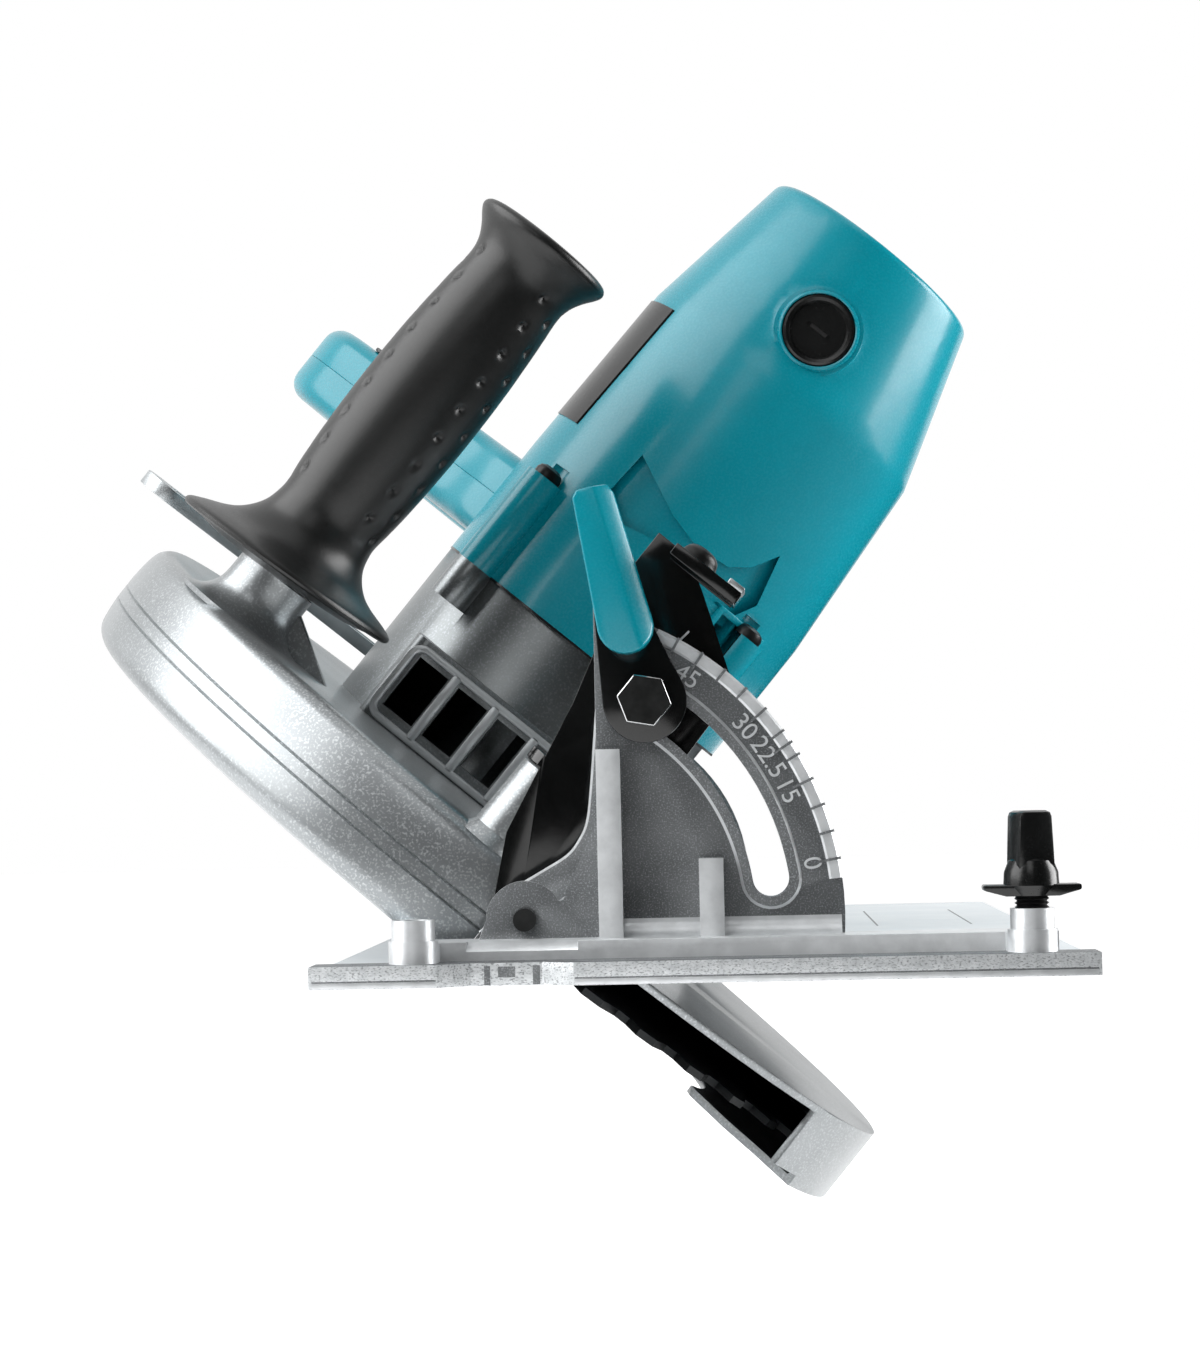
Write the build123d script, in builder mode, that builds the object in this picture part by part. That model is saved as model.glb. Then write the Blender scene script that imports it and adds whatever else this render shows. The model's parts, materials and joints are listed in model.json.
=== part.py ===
from build123d import *
import math
import os

# A large corded circular saw with its head tilted for a bevel cut.
# The base is modelled where it stands: X across the saw, towards the motor,
# Y from front to rear, Z up from the sole.
# Everything that tilts is modelled upright about the tilt axis, with X along
# the motor, Z up the blade, and is then turned to the left by the bevel.

# Base casting
base_left = -55.5
base_right = 152.5
base_front = -30.0
base_tail = 41.0
plate_thick = 4.0
lip_thick = 6.0
lip_rear = -14.0
rail_left = -36.0
rail_right = 143.0
rail_rear = 8.0
rail_top = 11.0
slot_left = -28.0
slot_right = 56.0
slot_front = 11.0
slot_end_gap = 9.0
sight_left = -21.5
sight_right = 14.5
sight_deep = 5.0
sight_slant = 8.5
sill_left = -15.0
sill_right = 15.0
sill_deep = 5.0
sill_drop = 2.5
corner_round = 4.0
fence_boss_left = -28.5
fence_boss_right = 135.5
fence_boss_y = -20.0
fence_boss_radius = 5.8
fence_boss_top = 17.5
fence_foot_radius = 6.6
fence_foot_top = 12.0
fence_thread = 4.0
fence_bar_wide = 12.0
fence_bar_thick = 3.2
fence_bar_start = 60.0
knob_gap = 3.2
knob_tall = 26.5
knob_hub_radius = 7.5
knob_flange_thick = 3.0
knob_flange_long = 25.6
knob_flange_deep = 10.0
knob_root_long = 7.2
knob_root_deep = 5.5
knob_tip_long = 5.2
knob_tip_deep = 2.6

# Tilt quadrants on the base
tilt_height = 16.15
bevel = 50.0
quadrant_radius = 87.0
quadrant_thick = 8.0
quadrant_left = 20.4
quadrant_slot_radius = 67.9
quadrant_slot_wide = 9.9
slot_spare = 1.5
lug_radius = 10.6
lug_foot = 13.0
rib_deep = 5.0
rib_wide = 6.6
rib_tall = 62.0
rib_short_left = 47.7
rib_short = 32.0
tilt_pin_radius = 3.1
tilt_pin_head = 4.6
rear_quadrant_radius = 62.0
rear_slot_radius = 46.0
rear_slot_wide = 7.0

# Clearances
running = 0.05
seat_gap = 0.3
free = 0.5

# Tilting brackets
bracket_thick = 3.5
bracket_lug = 10.0
stop_tab_x = 102.0
stop_tab_low = 9.0
stop_tab_high = 31.0
stop_tab_front = -13.0
stop_screw_up = 4.0
stop_head_radius = 5.2
stop_head_high = 4.0
stop_head_round = 2.5
stop_plate_thick = 1.6
stop_plate_tall = 5.0
depth_pivot_y = 24.0
depth_pivot_z = 20.0
depth_pin_radius = 4.0
depth_lug_radius = 9.0
bracket_corner = 15.0
ear_right = 38.0
guide_left = 17.3
guide_thick = 5.0
depth_boss_inset = 21.06
guide_room = 24.0
guide_wide = 20.0
guide_slot = 8.4
guide_low = -3.0
guide_high = 41.3
depth_bolt_angle = 5.0
depth_travel = 33.0
depth_bolt_radius = 4.0
depth_cap_thick = 2.0
depth_hub_radius = 9.0
depth_hub_wide = 8.5
depth_lever_long = 52.0
depth_arm_wide = 12.0
depth_arm_thick = 6.5

# Bevel clamp
bevel_bolt_angle = 9.9
bevel_bolt_radius = 4.0
bevel_head_flats = 13.0
bevel_head_high = 5.5
lever_thick = 3.2
lever_eye_radius = 11.3
lever_angle = 52.8
lever_grip_start = 13.0
lever_grip_end = 59.0
lever_grip_wide = 15.0
lever_grip_front = -16.0
washer_radius = 9.0
washer_thick = 2.0
wing_hub_radius = 7.0
wing_thick = 7.0
wing_root = 3.0
wing_reach = 16.0
wing_tip = 4.0
wing_rise = 7.0

# Arbor, blade and guards
arbor_y = 168.0
arbor_z = 17.3
blade_radius = 135.0
blade_thick = 2.2
blade_x = -8.1
blade_teeth = 40
blade_bore = 12.5
guard_radius = 154.0
guard_wall = 3.5
guard_left = -25.0
guard_right = 10.5
guard_bottom = 8.0
guard_round = 4.5
guard_hub_radius = 26.0
guard_hub_left = -2.0
guard_window = 34.0
lower_radius = 143.0
lower_wall = 2.5
lower_left = -20.0
lower_right = 5.7
lower_start = 196.0
lower_end = 356.0
lower_rim_start = 236.0
lower_hub_wall = 12.0
left_wall_start = 214.0
left_wall_inner = 92.0
finger_wide = 12.0
finger_notch = 10.0
finger_turn = 9.0
guard_lever_radius = 77.0
guard_lever_angle = 212.0
guard_lever_reach = 22.0

# Gears
gear_module = 1.25
gear_teeth = 36
pinion_teeth = 10
gear_left = 25.0
gear_wide = 10.0
gear_short_tip = 0.62
gear_backlash = 0.16

# Shafts and bearings
spindle_radius = 7.5
spindle_tail_radius = 6.0
spindle_bearing_radius = 16.0
spindle_bearing_wide = 9.0
spindle_bearing_left = 12.5
tail_bearing_radius = 12.0
front_bearing_radius = 13.0
tail_bearing_wide = 8.0
shaft_radius = 5.0
rear_shaft_radius = 4.0
rear_bearing_radius = 11.0
rear_bearing_wide = 7.0
rear_bearing_room = 10.0
flange_radius = 22.0
flange_thick = 4.4
outer_flange_thick = 4.0
blade_bolt_radius = 4.0
blade_bolt_flats = 13.0

# Housings
housing_radius = 52.0
housing_wall = 3.5
housing_right = 67.0
web_left = 37.0
web_thick = 10.0
web_window_out = 6.0
web_window_deep = 12.0
web_window_tall = 32.0
vent_reach = 56.0
vent_low = 16.0
vent_high = 84.0
vent_right = 40.0
vent_count = 4
motor_step = 2.0
motor_centre_z = 44.3
motor_shoulder_x = 172.0
motor_shoulder_step = 3.0
motor_shoulder_z = 46.0
motor_end = 225.0
motor_end_step = 15.6
motor_end_z = 50.2
motor_end_round = 3.0
inlet_wide = 4.0
inlet_tall = 40.0
inlet_steps = (-26, -19, 19, 26)
lug_screw_x = 102.0
lug_screw_out = 4.57
lug_screw_boss = 6.5
lug_screw_head = 4.6
brush_x = 190.0
brush_cap_radius = 12.0
brush_cap_step = 3.5
brush_tube_radius = 9.0
brush_wide = 8.0
brush_thick = 6.0
nameplate_left = 122.0
nameplate_right = 169.0
nameplate_near = 10.0
nameplate_far = 31.0
nameplate_thick = 0.6

# Motor
stator_radius = 45.0
stator_bore = 26.0
stator_left = 82.0
stator_long = 56.0
key_wide = 12.0
key_side_inset = 2.0
key_end_inset = 3.0
key_overlap = 5.0
rotor_gap = 0.5
commutator_radius = 14.0
commutator_left = 180.0
commutator_long = 20.0
fan_radius = 44.0
fan_left = 51.0
fan_wide = 12.0
fan_blades = 11

# Spindle lock and the screws between guard and gear housing
lock_x = 30.0
lock_z = 40.0
lock_radius = 4.0
lock_travel = 4.0
guard_screw_step = 38.0
guard_screw_low = 30.0
guard_screw_high = 62.0
guard_screw_radius = 2.5

# Handles
grip_y = 90.0
grip_z = 125.0
grip_boss_radius = 13.0
grip_start = 27.0
grip_end = 155.0
grip_radius = 18.2
grip_foot_radius = 42.0
grip_top_radius = 22.5
grip_bolt_radius = 5.0
handle_x = 90.0
handle_wide = 30.0
handle_wall = 3.0
handle_corner = 12.0
handle_round = 6.0
trigger_behind = 113.0
trigger_long = 28.0
trigger_up = 106.0
trigger_tall = 28.0
trigger_wide = 15.0
trigger_travel = 6.0
lock_off_behind = 154.0
lock_off_up = 127.0
lock_off_radius = 4.5
gland_up = 22.0
gland_radius = 9.0
gland_bore = 4.5
gland_behind = 222.0
gland_long = 26.0

# Places worked out from the sizes above
gear_distance = gear_module * (gear_teeth + pinion_teeth) / 2
motor_z = arbor_z + gear_distance
bracket_front = quadrant_thick + seat_gap
bracket_rear = bracket_front + bracket_thick
ear_left = ear_right - bracket_thick
depth_bolt_y = arbor_y + guard_radius - depth_boss_inset
guide_middle = (depth_bolt_y - depth_pivot_y) / math.cos(math.radians(depth_bolt_angle))
guide_outer = guide_middle + guide_wide / 2
rear_quadrant_y = depth_pivot_y + guide_outer + guide_room
slot_rear = rear_quadrant_y - slot_end_gap
base_rear = rear_quadrant_y + quadrant_thick + base_tail
rear_bracket_rear = rear_quadrant_y - seat_gap
rear_bracket_front = rear_bracket_rear - bracket_thick
bolt_x = quadrant_slot_radius * math.cos(math.radians(bevel_bolt_angle))
bolt_z = quadrant_slot_radius * math.sin(math.radians(bevel_bolt_angle))
rear_bolt_x = rear_slot_radius * math.cos(math.radians(bevel_bolt_angle))
rear_bolt_z = rear_slot_radius * math.sin(math.radians(bevel_bolt_angle))
washer_rear = -seat_gap
washer_front = washer_rear - washer_thick
lever_front = washer_front - lever_thick
guide_right = guide_left + guide_thick
depth_bolt_z = depth_pivot_z + guide_middle * math.sin(math.radians(depth_bolt_angle))
rotor_radius = stator_bore - rotor_gap
motor_radius = housing_radius + motor_step
motor_shoulder_radius = motor_radius - motor_shoulder_step
motor_end_radius = motor_radius - motor_end_step
brush_cap_reach = motor_radius - brush_cap_step
lug_screw_offset = (housing_radius + lug_screw_out) / math.sqrt(2)
handle_left = handle_x - handle_wide / 2
handle_right = handle_x + handle_wide / 2
trigger_front = arbor_y + trigger_behind
trigger_rear = trigger_front + trigger_long
trigger_low = motor_centre_z + trigger_up
trigger_top = trigger_low + trigger_tall
lock_off_y = arbor_y + lock_off_behind
lock_off_z = motor_centre_z + lock_off_up
gland_z = motor_centre_z + gland_up
gland_end = arbor_y + gland_behind
blade_left = blade_x - blade_thick / 2
blade_right = blade_x + blade_thick / 2
flange_right = blade_right + flange_thick

tilted = Location((0, 0, tilt_height), (0, -bevel, 0))
upright = Location((0, 0, 0))

os.makedirs("parts", exist_ok=True)


def save(builder, name, place):
    """Label a finished piece, put it in its place and write it."""
    piece = builder.part.moved(place)
    piece.label = name
    export_step(piece, f"parts/{name}.step")


def block(x, y, z, mode=Mode.ADD):
    """A box between two stations on each axis."""
    centre = ((x[0] + x[1]) / 2, (y[0] + y[1]) / 2, (z[0] + z[1]) / 2)
    with Locations(centre):
        Box(x[1] - x[0], y[1] - y[0], z[1] - z[0], mode=mode)


def rod_x(x, y, z, radius, mode=Mode.ADD):
    """A round bar along X between two stations."""
    with Locations(Location(((x[0] + x[1]) / 2, y, z), (0, 90, 0))):
        Cylinder(radius, x[1] - x[0], mode=mode)


def rod_y(x, y, z, radius, mode=Mode.ADD):
    """A round bar along Y between two stations."""
    with Locations(Location((x, (y[0] + y[1]) / 2, z), (90, 0, 0))):
        Cylinder(radius, y[1] - y[0], mode=mode)


def rod_z(x, y, z, radius, mode=Mode.ADD):
    """A round bar along Z between two stations."""
    with Locations((x, y, (z[0] + z[1]) / 2)):
        Cylinder(radius, z[1] - z[0], mode=mode)


def plate_x(points, x, mode=Mode.ADD, round_by=0.0):
    """A flat plate across X with an outline of (Y, Z) points."""
    with BuildSketch(Plane.YZ.offset(x[0])) as outline:
        Polygon(*points, align=None)
        if round_by:
            fillet(outline.vertices(), round_by)
    extrude(outline.sketch, amount=x[1] - x[0], mode=mode)


def plate_y(points, y, mode=Mode.ADD, round_by=0.0):
    """A flat plate across Y with an outline of (X, Z) points."""
    with BuildSketch(Plane.XZ.offset(-y[0])) as outline:
        Polygon(*points, align=None)
        if round_by:
            fillet(outline.vertices(), round_by)
    extrude(outline.sketch, amount=y[0] - y[1], mode=mode)


def arc_slot_y(centre, radius, start, end, wide, y, mode=Mode.SUBTRACT):
    """An arc-shaped slot through a plate that lies across Y."""
    with BuildSketch(Plane.XZ.offset(-y[0])) as outline:
        with BuildLine(mode=Mode.PRIVATE) as path:
            CenterArc(centre, radius, start, end - start)
        SlotArc(path.edge(), wide)
    extrude(outline.sketch, amount=y[0] - y[1], mode=mode)


def on_circle(centre, radius, angle):
    """The point of a circle at an angle in degrees."""
    turn = math.radians(angle)
    return (centre[0] + radius * math.cos(turn), centre[1] + radius * math.sin(turn))


def sector_x(centre, inner, outer, start, end, x, mode=Mode.ADD):
    """A ring sector across X, between two angles in the YZ plane."""
    middle = (start + end) / 2
    with BuildSketch(Plane.YZ.offset(x[0])) as outline:
        with BuildLine():
            ThreePointArc(*(on_circle(centre, outer, turn) for turn in (start, middle, end)))
            Line(on_circle(centre, outer, end), on_circle(centre, inner, end))
            ThreePointArc(*(on_circle(centre, inner, turn) for turn in (end, middle, start)))
            Line(on_circle(centre, inner, start), on_circle(centre, outer, start))
        make_face()
    extrude(outline.sketch, amount=x[1] - x[0], mode=mode)


def hexagon_y(x, z, flats, y, turn=0.0, mode=Mode.ADD):
    """A hexagon bar along Y, sized across its flats."""
    with BuildSketch(Plane.XZ.offset(-y[0])) as outline:
        with Locations((x, z)):
            RegularPolygon(flats / 2, 6, major_radius=False, rotation=turn)
    extrude(outline.sketch, amount=y[0] - y[1], mode=mode)


def hexagon_x(y, z, flats, x, mode=Mode.ADD):
    """A hexagon bar along X, sized across its flats."""
    with BuildSketch(Plane.YZ.offset(x[0])) as outline:
        with Locations((y, z)):
            RegularPolygon(flats / 2, 6, major_radius=False)
    extrude(outline.sketch, amount=x[1] - x[0], mode=mode)


# Base casting: sole plate, front lip and rail, tilt quadrants and fence bosses
quadrant_centre = (0, tilt_height)
with BuildPart() as base_plate:
    block((base_left, base_right), (base_front, base_rear), (0, plate_thick))
    fillet(base_plate.edges().filter_by(Axis.Z), corner_round)
    block((base_left, base_right), (base_front, lip_rear), (0, lip_thick))
    block((rail_left, rail_right), (lip_rear, rail_rear), (0, rail_top))
    with BuildSketch(Plane.XZ) as quadrant:
        with Locations(quadrant_centre):
            Circle(quadrant_radius)
        with Locations((quadrant_left + quadrant_radius, rail_top + quadrant_radius)):
            Rectangle(2 * quadrant_radius, 2 * quadrant_radius, mode=Mode.INTERSECT)
        Polygon(
            (-lug_foot, rail_top - 1),
            (-lug_radius, tilt_height),
            (lug_radius, tilt_height + lug_radius / 2),
            (quadrant_left, tilt_height + 2.6 * lug_radius),
            (quadrant_left + rib_wide, rail_top - 1),
            align=None,
        )
        with Locations(quadrant_centre):
            Circle(lug_radius)
    extrude(amount=-quadrant_thick)
    arc_slot_y(
        quadrant_centre,
        quadrant_slot_radius,
        bevel_bolt_angle - slot_spare,
        bevel_bolt_angle + bevel + slot_spare,
        quadrant_slot_wide,
        (-rib_deep, quadrant_thick + 1),
    )
    block((quadrant_left, quadrant_left + rib_wide), (-rib_deep, 0), (rail_top, rib_tall))
    block((rib_short_left, rib_short_left + rib_wide), (-rib_deep, 0), (rail_top, rib_short))
    with BuildSketch(Plane.XZ.offset(-rear_quadrant_y)) as rear_quadrant:
        with Locations(quadrant_centre):
            Circle(rear_quadrant_radius)
        with Locations((rear_quadrant_radius - lug_foot, rear_quadrant_radius)):
            Rectangle(2 * rear_quadrant_radius, 2 * rear_quadrant_radius, mode=Mode.INTERSECT)
        with Locations((-lug_foot, tilt_height + rear_quadrant_radius)):
            Circle(rear_quadrant_radius - lug_radius - 2, mode=Mode.SUBTRACT)
    extrude(amount=-quadrant_thick)
    arc_slot_y(
        quadrant_centre,
        rear_slot_radius,
        bevel_bolt_angle - slot_spare,
        bevel_bolt_angle + bevel + slot_spare,
        rear_slot_wide,
        (rear_quadrant_y - 1, rear_quadrant_y + quadrant_thick + 1),
    )
    rod_y(0, (-rib_deep, quadrant_thick + 1), tilt_height, tilt_pin_radius, Mode.SUBTRACT)
    rod_y(0, (rear_quadrant_y - 1, rear_quadrant_y + quadrant_thick + 1), tilt_height,
          tilt_pin_radius, Mode.SUBTRACT)
    block((slot_left, slot_right), (slot_front, slot_rear), (-1, plate_thick + 1), Mode.SUBTRACT)
    for boss_x in (fence_boss_left, fence_boss_right):
        block((boss_x - fence_foot_radius, boss_x + fence_foot_radius), (fence_boss_y, lip_rear),
              (0, rail_top))
        rod_z(boss_x, fence_boss_y, (0, fence_foot_top), fence_foot_radius)
        rod_z(boss_x, fence_boss_y, (0, fence_boss_top), fence_boss_radius)
        rod_z(boss_x, fence_boss_y, (-1, fence_boss_top + 1), fence_thread, Mode.SUBTRACT)
    plate_x([(lip_rear, rail_top - sill_drop), (lip_rear, rail_top), (lip_rear + sill_deep, rail_top)],
            (sill_left, sill_right), Mode.SUBTRACT)
    with BuildSketch() as sight:
        Polygon((sight_left, base_front), (sight_left + sight_slant, base_front + sight_deep),
                (sight_right - sight_slant, base_front + sight_deep), (sight_right, base_front), align=None)
    extrude(sight.sketch, amount=lip_thick, mode=Mode.SUBTRACT)
    block((fence_bar_start, base_right + 1),
          (fence_boss_y - fence_bar_wide / 2, fence_boss_y + fence_bar_wide / 2),
          (-1, fence_bar_thick), Mode.SUBTRACT)
save(base_plate, "base_plate", upright)

# Tilt pins, pressed into the lugs, on which both brackets turn
with BuildPart() as tilt_pins:
    rod_y(0, (-2, bracket_rear + seat_gap), tilt_height, tilt_pin_radius)
    rod_y(0, (bracket_rear + seat_gap, bracket_rear + seat_gap + 2), tilt_height, tilt_pin_head)
    rod_y(0, (rear_bracket_front - seat_gap, rear_quadrant_y + quadrant_thick), tilt_height,
          tilt_pin_radius)
    rod_y(0, (rear_bracket_front - seat_gap - 2, rear_bracket_front - seat_gap), tilt_height,
          tilt_pin_head)
save(tilt_pins, "tilt_pins", upright)

# Wing knob whose screw clamps a rip fence in the channel under the right boss
knob_flange_low = fence_boss_top + knob_gap
knob_flange_top = knob_flange_low + knob_flange_thick
with BuildPart() as fence_knob:
    rod_z(fence_boss_right, fence_boss_y, (fence_bar_thick, knob_flange_low),
          fence_thread - running)
    rod_z(fence_boss_right, fence_boss_y, (knob_flange_low, knob_flange_top), knob_hub_radius)
    block((fence_boss_right - knob_flange_long / 2, fence_boss_right + knob_flange_long / 2),
          (fence_boss_y - knob_flange_deep / 2, fence_boss_y + knob_flange_deep / 2),
          (knob_flange_low, knob_flange_top))
    with BuildSketch(Plane.XY.offset(knob_flange_top)):
        with Locations((fence_boss_right, fence_boss_y)):
            Ellipse(knob_root_long, knob_root_deep)
    with BuildSketch(Plane.XY.offset(fence_boss_top + knob_tall)):
        with Locations((fence_boss_right, fence_boss_y)):
            Ellipse(knob_tip_long, knob_tip_deep)
    loft()
save(fence_knob, "fence_knob", upright)

# Front tilt bracket: pressed plate with depth-pivot ears and a forward stop tab
tab_outer = stop_tab_x + bracket_thick
bracket_outline = [(-6, 8), (bracket_corner, 19.3), (54, 27.2), (92, 38), (tab_outer, 38),
                   (tab_outer, 14), (88, -5.4), (6, -8)]
with BuildPart() as front_bracket:
    rod_y(0, (bracket_front, bracket_rear), 0, bracket_lug)
    plate_y(bracket_outline, (bracket_front, bracket_rear))
    block((stop_tab_x, tab_outer), (stop_tab_front, bracket_rear), (stop_tab_low, stop_tab_high))
    block((ear_left, ear_right), (bracket_front, depth_pivot_y),
          (depth_pivot_z - depth_lug_radius, depth_pivot_z + depth_lug_radius / 2))
    rod_x((ear_left, ear_right), depth_pivot_y, depth_pivot_z, depth_lug_radius)
    rod_x((ear_left - 1, ear_right + 1), depth_pivot_y, depth_pivot_z, depth_pin_radius,
          Mode.SUBTRACT)
    rod_y(0, (bracket_front - 1, bracket_rear + 1), 0, tilt_pin_radius + running, Mode.SUBTRACT)
    rod_y(bolt_x, (bracket_front - 1, bracket_rear + 1), bolt_z, bevel_bolt_radius + running,
          Mode.SUBTRACT)
save(front_bracket, "front_bracket", tilted)

# Pin on which the head rises to set the depth of cut
with BuildPart() as depth_pivot_pin:
    rod_x((guard_right + seat_gap, ear_right), depth_pivot_y, depth_pivot_z, depth_pin_radius)
save(depth_pivot_pin, "depth_pivot_pin", tilted)

# Stop screw on the bracket's forward tab, and the ticked plate beside it
stop_y = (stop_tab_front + bracket_front) / 2
stop_z = (stop_tab_low + stop_tab_high) / 2
with BuildPart() as stop_screw:
    rod_x((tab_outer, tab_outer + stop_head_high), stop_y, stop_z + stop_screw_up, stop_head_radius)
    fillet(stop_screw.edges().sort_by(Axis.X)[-1], stop_head_round)
save(stop_screw, "stop_screw", tilted)
with BuildPart() as stop_plate:
    block((tab_outer, tab_outer + stop_plate_thick), (stop_tab_front, bracket_front),
          (stop_tab_low, stop_tab_low + stop_plate_tall))
save(stop_plate, "stop_plate", tilted)

# Weld nut behind the bracket for the bevel clamp
with BuildPart() as bevel_nut:
    hexagon_y(bolt_x, bolt_z, bevel_head_flats, (bracket_rear, bracket_rear + 6.5))
    rod_y(bolt_x, (bracket_rear - 1, bracket_rear + 8), bolt_z, bevel_bolt_radius + running,
          Mode.SUBTRACT)
save(bevel_nut, "bevel_nut", tilted)

# Bevel clamp: hexagon bolt with its washer, steel lever and moulded grip
bolt_head_front = lever_front - bevel_head_high
with BuildPart() as bevel_bolt:
    hexagon_y(bolt_x, bolt_z, bevel_head_flats, (bolt_head_front, lever_front))
    rod_y(bolt_x, (lever_front, bracket_rear + 7), bolt_z, bevel_bolt_radius)
save(bevel_bolt, "bevel_bolt", tilted)
with BuildPart() as bevel_washer:
    rod_y(bolt_x, (washer_front, washer_rear), bolt_z, washer_radius)
    rod_y(bolt_x, (washer_front - 1, washer_rear + 1), bolt_z, bevel_bolt_radius, Mode.SUBTRACT)
save(bevel_washer, "bevel_washer", tilted)
lever_plane = Plane(origin=(bolt_x, lever_front, bolt_z),
                    x_dir=(math.cos(math.radians(lever_angle)), 0, math.sin(math.radians(lever_angle))),
                    z_dir=(0, -1, 0))
lever_middle = (lever_grip_start + lever_grip_end) / 2
lever_inner_wide = lever_grip_wide - 7
with BuildPart() as bevel_lever_arm:
    with BuildSketch(lever_plane) as arm:
        Circle(lever_eye_radius)
        with Locations((lever_middle / 2, 0)):
            Rectangle(lever_middle, lever_inner_wide)
        Circle(bevel_bolt_radius, mode=Mode.SUBTRACT)
    extrude(amount=-lever_thick)
save(bevel_lever_arm, "bevel_lever_arm", tilted)
with BuildPart() as bevel_lever_grip:
    with BuildSketch(lever_plane.offset(-lever_thick)) as grip:
        with Locations((lever_middle, 0)):
            RectangleRounded(lever_grip_end - lever_grip_start, lever_grip_wide, lever_grip_wide / 2.5)
    extrude(amount=lever_front + lever_thick - lever_grip_front)
    fillet(bevel_lever_grip.faces().sort_by(Axis.Y)[0].edges(), 3.0)
    with BuildSketch(lever_plane) as sleeve:
        Circle(lever_eye_radius)
        with Locations((lever_middle / 2, 0)):
            Rectangle(lever_middle, lever_inner_wide)
    extrude(amount=-lever_thick - 1, mode=Mode.SUBTRACT)
    with BuildSketch(lever_plane.offset(-lever_thick)) as eye_room:
        Circle(lever_eye_radius + seat_gap)
    extrude(amount=lever_front + lever_thick - lever_grip_front + 1, mode=Mode.SUBTRACT)
save(bevel_lever_grip, "bevel_lever_grip", tilted)

# Rear tilt bracket with a forward tab for the depth guide
guide_centre = (depth_pivot_y, depth_pivot_z)
guide_foot = on_circle(guide_centre, guide_outer - guide_wide, guide_low)
tab_right = guide_right + bracket_thick
rivet_places = [on_circle(guide_centre, guide_middle + step, -0.6) for step in (-5, 5)]
rivet_radius = 2.0
rear_bolt_shank = 3.0
with BuildPart() as rear_bracket:
    rod_y(0, (rear_bracket_front, rear_bracket_rear), 0, bracket_lug)
    plate_y(
        [(-6, 8), (guide_right, 24), (rear_bolt_x + 9, 16), (rear_bolt_x + 9, 0), (6, -8)],
        (rear_bracket_front, rear_bracket_rear),
    )
    block((guide_right, tab_right), (guide_foot[0], rear_bracket_rear), (guide_foot[1] - 4, 24))
    rod_y(0, (rear_bracket_front - 1, rear_bracket_rear + 1), 0, tilt_pin_radius + running,
          Mode.SUBTRACT)
    rod_y(rear_bolt_x, (rear_bracket_front - 1, rear_bracket_rear + 1), rear_bolt_z,
          rear_bolt_shank, Mode.SUBTRACT)
    for rivet_y, rivet_z in rivet_places:
        rod_x((guide_right - 1, tab_right + 1), rivet_y, rivet_z, rivet_radius, Mode.SUBTRACT)
save(rear_bracket, "rear_bracket", tilted)

# Depth guide: a steel arc about the depth pivot, slotted for the depth clamp
with BuildPart() as depth_guide:
    sector_x(guide_centre, guide_outer - guide_wide, guide_outer, guide_low, guide_high,
             (guide_left, guide_right))
    with BuildSketch(Plane.YZ.offset(guide_left - 1)) as depth_slot:
        with BuildLine(mode=Mode.PRIVATE) as depth_path:
            CenterArc(guide_centre, guide_middle, depth_bolt_angle - 0.5, depth_travel + 1)
        SlotArc(depth_path.edge(), guide_slot)
    extrude(amount=guide_thick + 2, mode=Mode.SUBTRACT)
    for rivet_y, rivet_z in rivet_places:
        rod_x((guide_left - 1, guide_right + 1), rivet_y, rivet_z, rivet_radius, Mode.SUBTRACT)
    fillet(depth_guide.edges().filter_by(Axis.X).sort_by(Axis.Z)[-2:], guide_wide / 2.2)
save(depth_guide, "depth_guide", tilted)
with BuildPart() as guide_rivets:
    for rivet_y, rivet_z in rivet_places:
        rod_x((guide_left, tab_right), rivet_y, rivet_z, rivet_radius)
        rod_x((tab_right, tab_right + 1.5), rivet_y, rivet_z, rivet_radius + 1.5)
save(guide_rivets, "guide_rivets", tilted)

# Rear tilt clamp: a bolt fixed in the bracket, and a wing nut behind the quadrant
wing_front = rear_quadrant_y + quadrant_thick + seat_gap
wing_rear = wing_front + wing_thick
with BuildPart() as rear_bolt:
    hexagon_y(rear_bolt_x, rear_bolt_z, 10, (rear_bracket_front - 4, rear_bracket_front))
    rod_y(rear_bolt_x, (rear_bracket_front, wing_rear + 3), rear_bolt_z, rear_bolt_shank)
save(rear_bolt, "rear_bolt", tilted)
with BuildPart() as rear_wing_nut:
    rod_y(rear_bolt_x, (wing_front, wing_rear), rear_bolt_z, wing_hub_radius)
    for side in (-1, 1):
        wing = [(wing_root, -wing_root), (wing_reach - wing_tip / 2, -wing_root / 3), (wing_reach, wing_rise),
                (wing_reach - wing_tip, wing_rise), (wing_root, wing_root)]
        plate_y([(rear_bolt_x + side * across, rear_bolt_z + up) for across, up in wing],
                (wing_front + wing_thick / 3.5, wing_rear))
    rod_y(rear_bolt_x, (wing_front - 1, wing_rear + 1), rear_bolt_z, rear_bolt_shank + running,
          Mode.SUBTRACT)
save(rear_wing_nut, "rear_wing_nut", tilted)

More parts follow.
